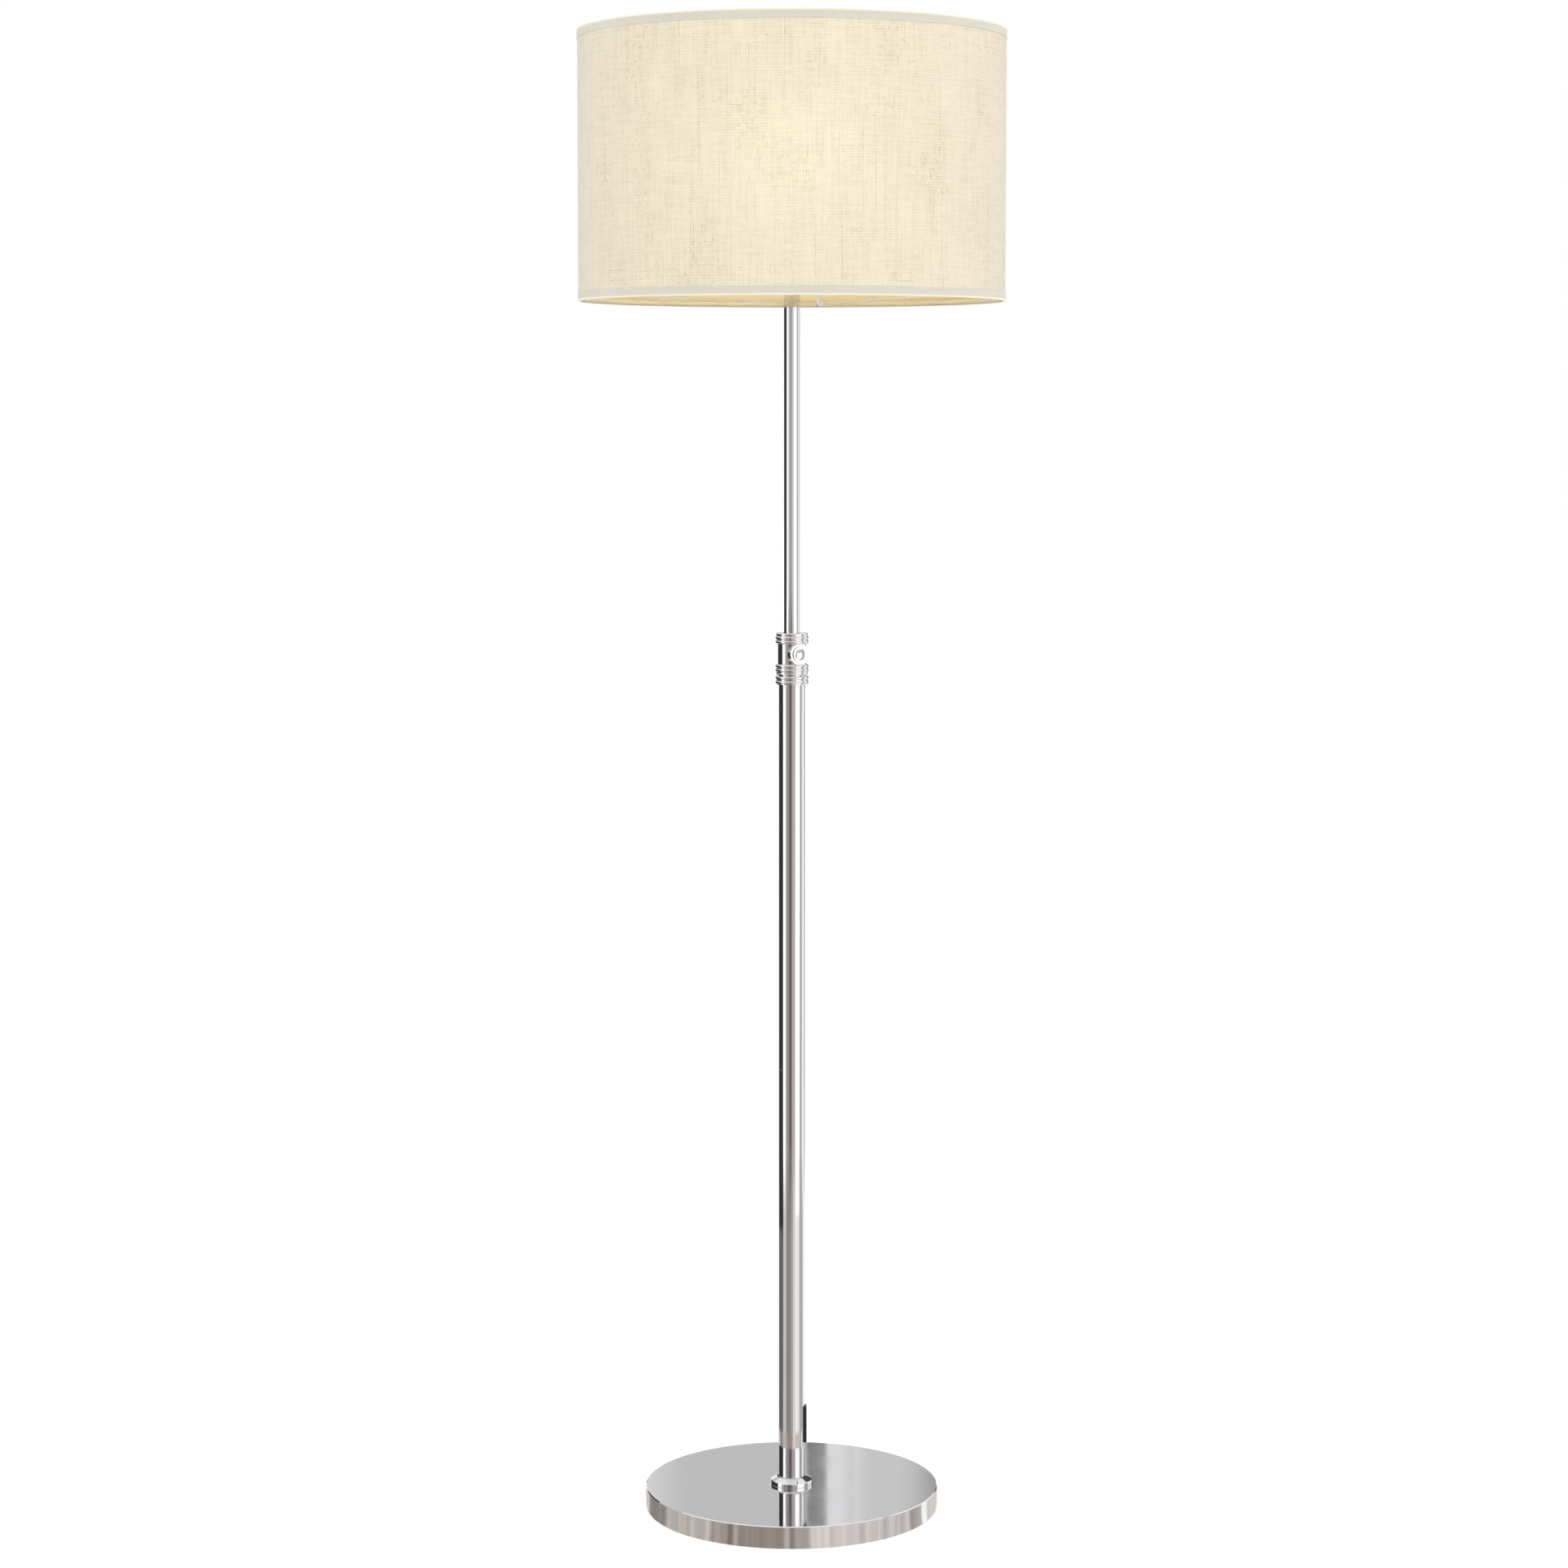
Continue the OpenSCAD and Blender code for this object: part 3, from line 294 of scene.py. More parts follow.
class Finish:
    """The nodes of a new material, or of the world, under construction.

    place is a point of the piece, in the model's frame.
    """

    def __init__(self, name, world=None):
        self.owner = world or bpy.data.materials.new(name)
        self.owner.use_nodes = True
        self.tree = self.owner.node_tree
        self.tree.nodes.clear()
        self.place = self.node("TexCoord")["Object"]

    def node(self, kind, values=(), **settings):
        """A new shader node: its settings first, then the values or links of its sockets, by name or number."""
        made = self.tree.nodes.new("ShaderNode" + kind)
        for key, value in settings.items():
            setattr(made, key, value)
        for key, value in values.items() if isinstance(values, dict) else enumerate(values):
            if isinstance(value, Socket):
                self.tree.links.new(value.socket, made.inputs[key])
            elif made.inputs[key].type == "RGBA":
                made.inputs[key].default_value = (*value, 1)
            else:
                made.inputs[key].default_value = value
        return Outputs(self, made)

    def math(self, operation, *values):
        """A Math node of this operation on these values."""
        return self.node("Math", values, operation=operation)[0]

    def cloth_place(self):
        """A point of the cloth: metres along the edge and across it."""
        return self.node("UVMap", uv_map=CLOTH_UV)["UV"]

    def pattern(self, kind, scale, place=None, **values):
        """A texture node over a place, the piece's own if none is given, with scale grains a metre.

        scale is a number, or three of them for different directions.
        """
        scales = scale if isinstance(scale, tuple) else (scale,) * 3
        stretched = self.node("Mapping", {"Vector": place or self.place, "Scale": scales})[0]
        return self.node(kind, {"Vector": stretched, "Scale": 1.0, **values})

    def split(self, place):
        """The three numbers of a place."""
        parts = self.node("SeparateXYZ", [place])
        return parts[0], parts[1], parts[2]

    def from_axis(self):
        """The piece's distance from the pole's axis, and its height."""
        x, y, z = self.split(self.place)
        return (x * x + y * y) ** 0.5, z

    def joined(self, x, y, z):
        """A place from three numbers."""
        return self.node("CombineXYZ", [x, y, z])[0]

    def noise(self, scale, detail=2.0, place=None):
        """Smooth noise of mean 0.5."""
        return self.pattern("TexNoise", scale, place, Detail=detail)[0]

    def cells(self, scale):
        """A random level for each cell of a pattern of crystals."""
        return self.split(self.pattern("TexVoronoi", scale)["Color"])[0]

    def chance(self, column, row):
        """A random number between 0 and 1 for each whole column and row."""
        return self.node("TexWhiteNoise", {"Vector": self.joined(column, row, 0.0)}, noise_dimensions="2D")["Value"]

    def step(self, value, low, high):
        """0 below low, 1 above high, and a smooth step between them."""
        return self.node("MapRange", {"Value": value, "From Min": low, "From Max": high},
                         interpolation_type="SMOOTHSTEP")[0]

    def between(self, value, low, high, soft):
        """1 between low and high and 0 outside, with smooth steps that are soft wide."""
        return self.step(value, low - soft / 2, low + soft / 2) * (
            1 - self.step(value, high - soft / 2, high + soft / 2))

    def mix(self, factor, first, second, blend="MIX"):
        """A colour between two, or with blend MULTIPLY or ADD their product or sum."""
        return self.node("Mix", {0: factor, 6: first, 7: second}, data_type="RGBA", blend_type=blend)[2]

    def shaded(self, tone, level):
        """A colour made darker or lighter by a level round 1."""
        return self.mix(1.0, tone, level, "MULTIPLY")

    def bump(self, height, depth):
        """The normal of a surface that stands up by height times depth, in metres."""
        return self.node("Bump", {"Strength": 1.0, "Distance": depth, "Height": height})[0]

    def principled(self, **values):
        """A Principled shader. Its sockets are named with underscores for spaces."""
        return self.node("BsdfPrincipled",
                         {key.replace("_", " "): value for key, value in values.items()})[0]

    def coat(self, **values):
        """The finished material with one Principled shader."""
        return self.done(self.principled(**values))

    def blend_shaders(self, factor, first, second):
        """A mix of two shaders, all of the second at factor 1."""
        return self.node("MixShader", [factor, first, second])[0]

    def straightened(self, tone):
        """Light that comes through and keeps near its way."""
        return self.node("BsdfRefraction", {"Color": tone, "Roughness": 0.95, "IOR": 1.2}, distribution="GGX")[0]

    def seen_directly(self):
        """1 for rays from the camera and for mirrored and refracted ones, and 0 for light on its way."""
        path = self.node("LightPath")
        seen = path["Is Camera Ray"]
        for kind in ("Is Glossy Ray", "Is Transmission Ray"):
            seen = self.math("MAXIMUM", seen, path[kind])
        return seen

    def done(self, shader):
        """The finished material, with that shader on its surface."""
        self.node("OutputMaterial", {"Surface": shader})
        return self.owner


def paint(names, material):
    """Gives CAD nodes their material."""
    for name in names:
        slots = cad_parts[name].data.materials
        slots.clear()
        slots.append(material)


def chrome(name, tone, lines, painted_reflections=None):
    """Polished chrome with faint tooling lines, and a haze here and there that softens the mirror.

    lines gives the height of the tooling marks, and the optional last argument the lighter and darker streaks of
    painted reflection that it adds to the tone's level.
    """
    f = Finish(name)
    grain = lines(f)
    haze = f.step(f.noise((14, 14, 9), 3), 0.45, 0.75)
    rough = 0.035 + haze * 0.05 + grain * 0.02
    level = 0.985 + f.noise((60, 60, 30)) * 0.03
    # Painted reflection: streaks in the tone's level stand in for what the chrome mirrors.
    if painted_reflections:
        level = level + painted_reflections(f)
    return f.coat(
        Base_Color=f.shaded(tone, level), Metallic=1.0, Roughness=rough, Normal=f.bump(grain, 1.5e-6))


def drawn_lines(f):
    """Lines along a drawn tube."""
    return f.noise((700, 700, 3), 3)


def turned_lines(f):
    """Fine rings that a lathe tool leaves: noise that changes only with the height and the radius."""
    radius, z = f.from_axis()
    return f.noise((2500, 1, 2500), 2, f.joined(radius, 0.0, z))


def spun_lines(f):
    """Rings on the spun top and fine upright lines on the rim: noise of the radius, and of the angle."""
    radius, _ = f.from_axis()
    rings = f.noise((1600, 1, 1), 3, f.joined(radius, 0.0, 0.0))
    upright = f.noise((260, 260, 4), 3)
    rim = f.step(radius, *RIM_RADIUS)
    return rings * (1 - rim) + upright * rim * 1.6


def painted_rim_reflections(f):
    """Painted reflection: broad upright streaks, lighter and darker, painted into the chrome's colour on the base's
    rim below its bevel.
    """
    radius, z = f.from_axis()
    rim = f.step(radius, *RIM_RADIUS) * (1 - f.step(z, *RIM_TOP))
    return (f.noise((130, 130, 1.5), 4) - 0.5) * rim


def zinc_plate():
    """Zinc plate: dull steel grey with a faint pattern of crystals."""
    f = Finish("zinc_plate")
    crystal = f.cells(420)
    cloud = f.noise(90, 3)
    return f.coat(
        Base_Color=f.shaded((0.55, 0.56, 0.58), 0.9 + crystal * 0.16), Metallic=1.0,
        Roughness=0.3 + cloud * 0.2, Normal=f.bump(cloud, 8e-6))


def brass():
    """Stamped brass, a little darker where it has been handled."""
    f = Finish("brass")
    tarnish = f.step(f.noise(160, 4), 0.45, 0.7)
    return f.coat(
        Base_Color=f.mix(tarnish, (0.83, 0.62, 0.29), (0.55, 0.38, 0.17)), Metallic=1.0,
        Roughness=0.25 + tarnish * 0.2, Normal=f.bump(tarnish, 5e-6))


def cast_iron():
    """Sand casting under dark primer."""
    f = Finish("cast_iron")
    grit = f.noise(900, 3)
    patch = f.noise(60, 4)
    return f.coat(
        Base_Color=f.mix(patch, (0.05, 0.05, 0.055), (0.12, 0.11, 0.105)),
        Roughness=0.6 + grit * 0.25, Normal=f.bump(grit + patch * 0.6, 2.5e-4))


def moulded(name, tone, roughness, depth):
    """Moulded plastic or rubber with a fine spark-eroded grain."""
    f = Finish(name)
    grain = f.noise(2600, 2)
    flow = f.noise(40, 3)
    return f.coat(
        Base_Color=f.shaded(tone, 0.96 + flow * 0.08), Roughness=roughness + (grain - 0.5) * 0.12 + flow * 0.06,
        Normal=f.bump(grain, depth))


def ceramic():
    """Steatite: an unglazed body with fine specks."""
    f = Finish("ceramic")
    speck = f.step(f.noise(1500, 2), 0.62, 0.7)
    return f.coat(
        Base_Color=f.mix(speck, (0.82, 0.79, 0.72), (0.6, 0.55, 0.47)),
        Roughness=0.45 + speck * 0.15, Normal=f.bump(speck, 1e-5))


def bulb_cap_metal():
    """Thin rolled aluminium with marks that run round it."""
    f = Finish("bulb_cap_metal")
    marks = f.noise((30, 30, 1400), 3)
    return f.coat(
        Base_Color=f.shaded((0.72, 0.72, 0.73), 0.94 + marks * 0.1), Metallic=1.0,
        Roughness=0.22 + marks * 0.15, Normal=f.bump(marks, 8e-6))


def wire_paint():
    """White powder coat with a faint orange peel."""
    f = Finish("wire_paint")
    peel = f.noise(650, 2)
    return f.coat(
        Base_Color=f.shaded((0.86, 0.86, 0.845), 0.97 + peel * 0.05), Roughness=0.22 + peel * 0.12,
        Normal=f.bump(peel, 2e-5))


def felt():
    """Pressed felt: short fibres in all directions."""
    f = Finish("felt")
    fibre = f.noise((1900, 500, 900), 3) + f.noise((500, 1900, 900), 3)
    return f.coat(
        Base_Color=f.mix(f.step(fibre, 0.8, 1.25), (0.012, 0.012, 0.013), (0.06, 0.06, 0.063)),
        Roughness=0.85 + fibre * 0.1, Normal=f.bump(fibre, 2e-4), Sheen_Weight=0.3)


def opal(tone, lamplight, level):
    """The lit globe: opal plastic that glows a little less towards its neck, and looks softer than it shines."""
    f = Finish("opal_globe")
    z = f.split(f.place)[2]
    low, high = (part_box("bulb_globe")[i].z for i in range(2))
    glow = 0.8 + f.step(z, low, high) * 0.2 + (f.noise(70) - 0.5) * 0.05
    glow = glow * (1 - f.seen_directly() * (1 - SEEN_GLOBE_LEVEL / level))
    return f.coat(
        Base_Color=tone, Roughness=0.3 + f.noise(400) * 0.1,
        Emission_Color=f.shaded(lamplight, glow), Emission_Strength=level)


def liner_film(tone):
    """Stiff film that lets most light through, with faint bands from its rolling. Its skin carries a painted glow
    that stands in for the lamplight falling on it.
    """
    f = Finish("liner_film")
    bands = f.noise((60, 60, 4), 3)
    cloud = f.noise(300, 2)
    # Painted lamplight: the skin's warm emission, banded like the film, stands in for the bulb's light on the liner.
    skin = f.principled(Base_Color=f.shaded(tone, 0.96 + bands * 0.06), Roughness=0.42 + cloud * 0.12,
                        Emission_Color=f.shaded((0.22, 0.17, 0.08), 0.9 + bands * 0.2), Emission_Strength=1.0,
                        Normal=f.bump(bands, 4e-5))
    through = f.straightened((1.0, 1.0, 0.98))
    return f.done(f.blend_shaders(0.64 + (cloud - 0.5) * 0.1, skin, through))


def linen(tone, slub_tone, glow, overlap_at, overlap_width):
    """Slubby linen in plain weave.

    Rows and columns of threads wander a little. Each crossing has its own random darkness and each thread its own
    slow change along its length; specks gather in patches and along slubby threads, with a few dark stems and
    knots. Thick threads let less light through, and so does the overlap. The cloth's emission is a painted glow
    that stands in for the bulb's light soaking through it, and it is dimmer at the overlap.
    """
    f = Finish("linen")
    uv = f.cloth_place()
    along, across, _ = f.split(uv)
    row = across * (1 / THREAD_PITCH) + f.noise((10, 24, 1), 2, uv) * 1.6
    column = along * (1 / THREAD_PITCH) + f.noise((24, 10, 1), 2, uv) * 1.6
    crossing = f.chance(f.math("FLOOR", column), f.math("FLOOR", row))
    over, under = (f.math("COSINE", count * math.tau) * -0.5 + 0.5 for count in (row, column))
    ribs = over * 0.55 + under * 0.45 - 0.5
    weft = f.noise((30, 440, 1), 3, uv) - 0.5
    warp = f.noise((440, 20, 1), 3, uv) - 0.5
    fine = f.noise((900, 900, 1), 3, uv) - 0.5
    streak = f.noise((110, 2.5, 1), 2, uv) - 0.5
    cloud = f.noise((9, 12, 1), 2, uv) - 0.5
    threads = ribs * 0.25 + weft * 0.45 + warp * 0.5 + (crossing - 0.5) * 0.15 + fine * 0.65
    patch = f.step(f.noise((16, 14, 1), 3, uv), 0.44, 0.64)
    slubs = f.step(f.noise((420, 5, 1), 2, uv), 0.60, 0.72) + f.step(f.noise((11, 430, 1), 2, uv), 0.62, 0.74) * patch
    specks = f.step(crossing + fine * 0.7, 0.62, 0.95) * (1 - over * under) * (0.12 + patch * 0.6 + slubs * 0.9)
    stems = f.step(f.noise((620, 26, 1), 2, uv), 0.66, 0.74) * f.step(f.noise((11, 13, 5), 2, uv), 0.48, 0.62)
    knots = f.step(f.noise((330, 360, 1), 2, uv), 0.74, 0.80)
    dark = f.math("MINIMUM", specks * 0.5 + slubs * 0.13 + stems * 0.5 + knots * 0.8, 0.9)
    level = 0.99 + threads * 0.62 + streak * 0.1 + cloud * 0.06
    cloth = f.mix(dark, f.shaded(tone, level), slub_tone)
    overlap_end = overlap_at + overlap_width
    seam = f.step(along, overlap_at, overlap_at + SEAM_EDGE) * (
        1 - f.step(along, overlap_end, overlap_end + SEAM_EDGE))
    tint = f.mix(dark, WHITE, (0.5, 0.38, 0.08))
    # Painted lamplight: the emission glow stands in for light from the bulb that soaks through the cloth.
    front = f.principled(Base_Color=cloth, Roughness=0.86 + threads * 0.1, Sheen_Weight=0.4,
                         Emission_Color=f.shaded(f.shaded(f.shaded(glow, level), tint), 1 - seam * 0.4),
                         Emission_Strength=1.0, Normal=f.bump(threads + dark * 0.5, 1.6e-4))
    open_share = (0.24 - threads * 0.15) * (1 - dark * 0.5) * (1 - seam * 0.35)
    return f.done(f.blend_shaders(open_share, front, f.straightened(f.shaded((0.88, 1.0, 0.78), tint))))


def linen_back():
    """The glued side of the cloth, which only hands the light on."""
    f = Finish("linen_back")
    uv = f.cloth_place()
    level = 0.95 + f.noise((300, 300, 1), 2, uv) * 0.06
    skin = f.principled(Base_Color=(0.85, 0.8, 0.7), Roughness=0.9)
    return f.done(f.blend_shaders(0.96, skin, f.straightened(f.shaded((1.0, 1.0, 0.99), level))))


def tape(tone, painted_inside_tone, height):
    """Woven tape: fine ribs across it and uneven dyeing. A painted glow on its fold under the cloth's edge stands in
    for lamplight soaking through, and its side towards the lamp is painted darker and warmer, as shade in the lamp's
    light.
    """
    f = Finish("edging_tape")
    uv = f.cloth_place()
    along, across, _ = f.split(uv)
    ribs = f.math("SINE", along * (math.tau / TAPE_RIB)) * 0.5 + 0.5
    fuzz = f.noise((900, 1500, 1), 2, uv)
    cloud = f.noise((20, 60, 1), 2, uv)
    level = 0.91 + ribs * 0.07 + (fuzz - 0.5) * 0.3 + (cloud - 0.5) * 0.14
    # Painted lamplight: the fold's emission glow. Painted shade: the darker, warmer tone on the side towards the
    # lamp.
    fold = f.step(across, height - 2.4 * MM, height - 0.6 * MM)
    inside = f.step(across, height + 1.2 * MM, height + 2.4 * MM)
    return f.coat(
        Base_Color=f.shaded(f.mix(inside, tone, painted_inside_tone), level), Roughness=0.75 + fuzz * 0.15, Sheen_Weight=0.1,
        Emission_Color=f.shaded((0.27, 0.22, 0.13), fold * (1 - inside)), Emission_Strength=1.0,
        Normal=f.bump(ribs * 0.6 + fuzz * 0.5, 9e-5))


# ---- operators

class LAMP_OT_shade_cloth(bpy.types.Operator):
    """The linen drum with its glued overlap at the rear"""
    bl_idname = "lamp.shade_cloth"
    bl_label = "Shade cloth"

    def execute(self, context):
        """Radius over (height, angle): the model's radius, plus a smooth step out where the cloth overlaps."""
        s, tones = context.scene.lamp_shade, context.scene.lamp_colours
        low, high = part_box("shade_fabric")
        radius = high.x
        half = s.overlap_width / radius / 2
        step = SEAM_EDGE / radius
        edges = np.concatenate([half * np.linspace(-1, 1, 9), [-half - step, half + step]])
        even = np.linspace(-math.pi, math.pi, 360, endpoint=False) + 0.001  # clear of the edges' angles
        angle = np.sort(np.concatenate([even, edges]))
        lift = (1 - ramp(np.abs(angle), half, half + step)) * s.overlap_rise
        outside = np.linspace(low.z, high.z, 40)
        inside = np.linspace(high.z, low.z, 12)
        height = np.concatenate([outside, inside])[:, None]
        outer = np.ones(len(outside))[:, None] * (radius + lift)
        inner = np.ones(len(inside))[:, None] * (radius - s.cloth_thickness + 0 * lift)
        points = turned_points(np.concatenate([outer, inner]), height, angle + math.pi / 2)
        along = radius * np.append(angle + math.pi, angle[0] + 3 * math.pi)
        across = np.append(height[:, 0], height[0, 0]) - low.z
        uv = np.stack(np.broadcast_arrays(along[None, :], across[:, None]), -1)
        front = linen(tones.linen, tones.slub, tones.glow, math.pi * radius - s.overlap_width / 2, s.overlap_width)
        cloth = surface("shade_cloth", points, "upper_pole", front, linen_back(), uv=uv,
                        inner_rows=range(len(outside) - 1, len(outside) + len(inside)))
        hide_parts("shade_fabric")
        return {"FINISHED"}


class LAMP_OT_edging(bpy.types.Operator):
    """The two tapes folded over the shade's edges and round the wire rings"""
    bl_idname = "lamp.edging"
    bl_label = "Edging tape"

    def execute(self, context):
        s, tones = context.scene.lamp_shade, context.scene.lamp_colours
        finish = tape(tones.tape, tones.tape_inside_painted_shade, s.tape_height)
        angle = full_circle(540)
        for name, node, top in (("edging_top", "trim_top", True), ("edging_bottom", "trim_bottom", False)):
            low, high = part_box(node)
            edge, side = (high.z, -1) if top else (low.z, 1)
            loop, across = self.outline(s, high.x, angle, not top)
            points = turned_points(loop[..., 0], edge + side * loop[..., 1], angle)
            along = high.x * np.arange(len(angle) + 1) * math.tau / len(angle)
            uv = np.stack(np.broadcast_arrays(along[None, :], np.append(across, across[0])[:, None]), -1)
            piece = surface(name, points, "upper_pole", finish, uv=uv)
            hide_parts(node)
        low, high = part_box("shade_fabric")
        return {"FINISHED"}

    def outline(self, s, outer_radius, angle, notched):
        """The tape's closed section for each angle, as (radius, distance from the edge), and each row's place
        across the tape.

        The middle line runs down the outside, turns a small corner, crosses under the cloth and rolls round the
        wire; the section is that line moved both ways by half the thickness. At each spoke the roll stops short.
        """
        thick = s.tape_thickness
        wrap = s.wire_radius + s.wire_gap + thick / 2
        centre_up = thick + s.wire_gap + s.wire_radius
        corner = thick / 2
        sweep = math.pi
        if notched:
            between = (angle[:, None] - spoke_angles(s) + math.pi) % math.tau - math.pi
            away = np.abs(between).min(1) * s.ring_radius
            open_to = 0.34 * math.pi
            sweep = open_to + (math.pi - open_to) * ramp(away, s.spoke_radius + 0.4 * MM, s.spoke_radius + 1.6 * MM)
        sweep = sweep + 0.05 * np.sin(5 * angle) + 0.035 * np.sin(13 * angle + 1)
        leg = np.linspace(s.tape_height, corner + thick / 2, 8)[:, None] + 0 * angle
        turn = np.linspace(0, math.pi / 2, 5)[:, None] + 0 * angle
        under = np.linspace(outer_radius - thick, s.ring_radius, 4)[1:, None] + 0 * angle
        roll = np.linspace(0, 1, 19)[1:, None] * sweep
        line_r = np.concatenate([
            outer_radius - thick / 2 + 0 * leg, outer_radius - thick + corner * np.cos(turn), under,
            s.ring_radius - wrap * np.sin(roll)])
        line_z = np.concatenate([
            leg, thick - corner * np.sin(turn), thick / 2 + 0 * under, centre_up - wrap * np.cos(roll)])
        normal_r = np.concatenate([1 + 0 * leg, np.cos(turn), 0 * under, -np.sin(roll)])
        normal_z = np.concatenate([0 * leg, -np.sin(turn), -1 + 0 * under, -np.cos(roll)])
        half = thick / 2 * (1 - 0.12 * (0.5 + 0.5 * np.sin(31 * angle) * np.sin(7 * angle)))
        loop = ribbon_loop(np.stack([line_r, line_z], -1), np.stack([normal_r, normal_z], -1), half[None, :, None])
        steps = np.hypot(np.diff(line_r[:, 0]), np.diff(line_z[:, 0]))
        across = np.concatenate([[0], np.cumsum(steps)])
        return loop, np.concatenate([across, across[::-1]])


class LAMP_OT_shade_inside(bpy.types.Operator):
    """The liner, the wire rings, and the welds where the spokes meet them"""
    bl_idname = "lamp.shade_inside"
    bl_label = "Inside of the shade"

    def execute(self, context):
        s, fittings = context.scene.lamp_shade, context.scene.lamp_fittings
        paint(["shade_liner"], liner_film(context.scene.lamp_colours.liner))
        coat = wire_paint()
        paint(PAINTED_WIRE, coat)
        low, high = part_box("shade_frame")
        fitter_overhang, spoke_lap, half_sheet = 3.5 * MM, 1.5 * MM, 0.75 * MM
        fitter_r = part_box("shade_ring_lower")[1].x + fitter_overhang
        bottom = np.array([s.ring_radius, low.z + s.wire_radius])
        top = np.array([fitter_r - spoke_lap, high.z - half_sheet])
        for name, at, far, reach in (
                ("welds_at_ring", bottom, top, s.wire_radius), ("welds_at_fitter", top, bottom, 0.9 * MM)):
            points = self.beads(s, fittings.weld_size, at, (far - at) / np.hypot(*(far - at)), reach)
            piece = surface(name, points, "upper_pole", coat)
        return {"FINISHED"}

    def beads(self, s, size, at, direction, reach):
        """Trumpet shaped welds round the spokes' ends, over (distance along the spoke, angle round it).

        The radius falls from the spoke's radius plus size, by a square law, to just under the spoke's skin, and
        the way back runs inside the spoke. One weld follows the next along the columns, joined inside the wires.
        """
        along = np.linspace(0.2, 1, 7)
        outer = s.spoke_radius + size * (1 - along) ** 2 - 0.05 * MM
        way_back = np.array([2.9, 1.6, 0.7]) * MM
        inner = np.full(len(way_back), s.spoke_radius * 0.6)
        radius = np.concatenate([outer, inner])[:, None, None]
        distance = reach * 0.55 + np.concatenate([along * 3.2 * MM, way_back])
        around = np.arange(24) * math.tau / 24
        lumps = 1 + 0.05 * np.sin(3 * around + 1)
        b, a = np.meshgrid(spoke_angles(s), around, indexing="ij")
        side = radius * np.cos(a) * np.tile(lumps, (s.spoke_count, 1))
        rise = radius * np.sin(a) * np.tile(lumps, (s.spoke_count, 1))
        ring_r = at[0] + distance[:, None, None] * direction[0] - rise * direction[1]
        z = at[1] + distance[:, None, None] * direction[1] + rise * direction[0]
        x = ring_r * np.cos(b) - side * np.sin(b)
        y = ring_r * np.sin(b) + side * np.cos(b)
        return np.stack([x, y, z], -1).reshape(len(distance), -1, 3)


class LAMP_OT_lampholder(bpy.types.Operator):
    """The lampholder's threaded skirt and the finishes of its pieces"""
    bl_idname = "lamp.lampholder"
    bl_label = "Lampholder"

    def execute(self, context):
        """Radius over (height, angle): the skirt's radius less a rounded groove that climbs a pitch each turn."""
        s = context.scene.lamp_fittings
        low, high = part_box("holder_skirt")
        white = moulded("white_plastic", (0.84, 0.84, 0.825), 0.28, 4e-6)
        paint(MOULDED_WHITE, white)
        paint(["contact_block"], ceramic())
        radius = high.x
        angle = full_circle(144)
        outside = np.linspace(low.z, high.z, 150)[:, None]
        groove = 0.5 - 0.5 * np.cos(math.tau * (outside / s.thread_pitch - angle / math.tau))
        fade = ramp(outside, low.z, low.z + 2 * MM) * (1 - ramp(outside, high.z - 3 * MM, high.z - 1 * MM))
        outer = radius - s.thread_depth * groove ** 1.5 * fade
        bore = np.array([s.lip_bore, s.lip_bore, radius - s.skirt_wall, radius - s.skirt_wall])[:, None]
        heights = np.array([high.z, high.z - s.lip_height, high.z - s.lip_height, low.z])[:, None]
        points = turned_points(np.concatenate([outer, bore + 0 * angle]),
                               np.concatenate([outside, heights]), angle)
        skirt = surface("holder_thread", points, "upper_pole", white)
        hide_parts("holder_skirt")
        return {"FINISHED"}


class LAMP_OT_bulb(bpy.types.Operator):
    """The lit globe and the finishes of the bulb's pieces"""
    bl_idname = "lamp.bulb"
    bl_label = "Bulb"

    def execute(self, context):
        """Radius over height: a circle's arc from the globe's mouth to its crown, closed by a shallow cone."""
        tones = context.scene.lamp_colours
        low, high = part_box("bulb_globe")
        radius = high.x
        centre = high.z - radius
        start = math.asin((low.z - centre) / radius)
        rise = np.linspace(start, math.pi / 2, 40)
        r = np.concatenate([[0], radius * np.cos(rise)])[:, None]
        z = np.concatenate([[low.z + 1 * MM], centre + radius * np.sin(rise)])[:, None]
        r[-1] = 0
        points = turned_points(r, z, full_circle(72))
        glass = opal((0.93, 0.92, 0.88), tones.light, tones.light_level)
        globe = surface("lit_globe", points, "upper_pole", glass, wrap_rows=False)
        close_poles(globe)
        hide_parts("bulb_globe")
        paint(["bulb_cap"], bulb_cap_metal())
        paint(["bulb_insulator"], moulded("black_glass", (0.02, 0.02, 0.022), 0.15, 2e-6))
        return {"FINISHED"}


class LAMP_OT_chrome_pieces(bpy.types.Operator):
    """Polished chrome for the tubes, the turned pieces, the screw and the base"""
    bl_idname = "lamp.chrome_pieces"
    bl_label = "Chrome pieces"

    def execute(self, context):
        tone = context.scene.lamp_colours.chrome
        paint(TUBES, chrome("chrome_tube", tone, drawn_lines))
        paint(TURNED, chrome("chrome_turned", tone, turned_lines))
        paint(["thumb_screw"], chrome("chrome_screw", tone, drawn_lines))
        paint(["base_cover"], chrome("chrome_base", tone, spun_lines, painted_rim_reflections))
        return {"FINISHED"}


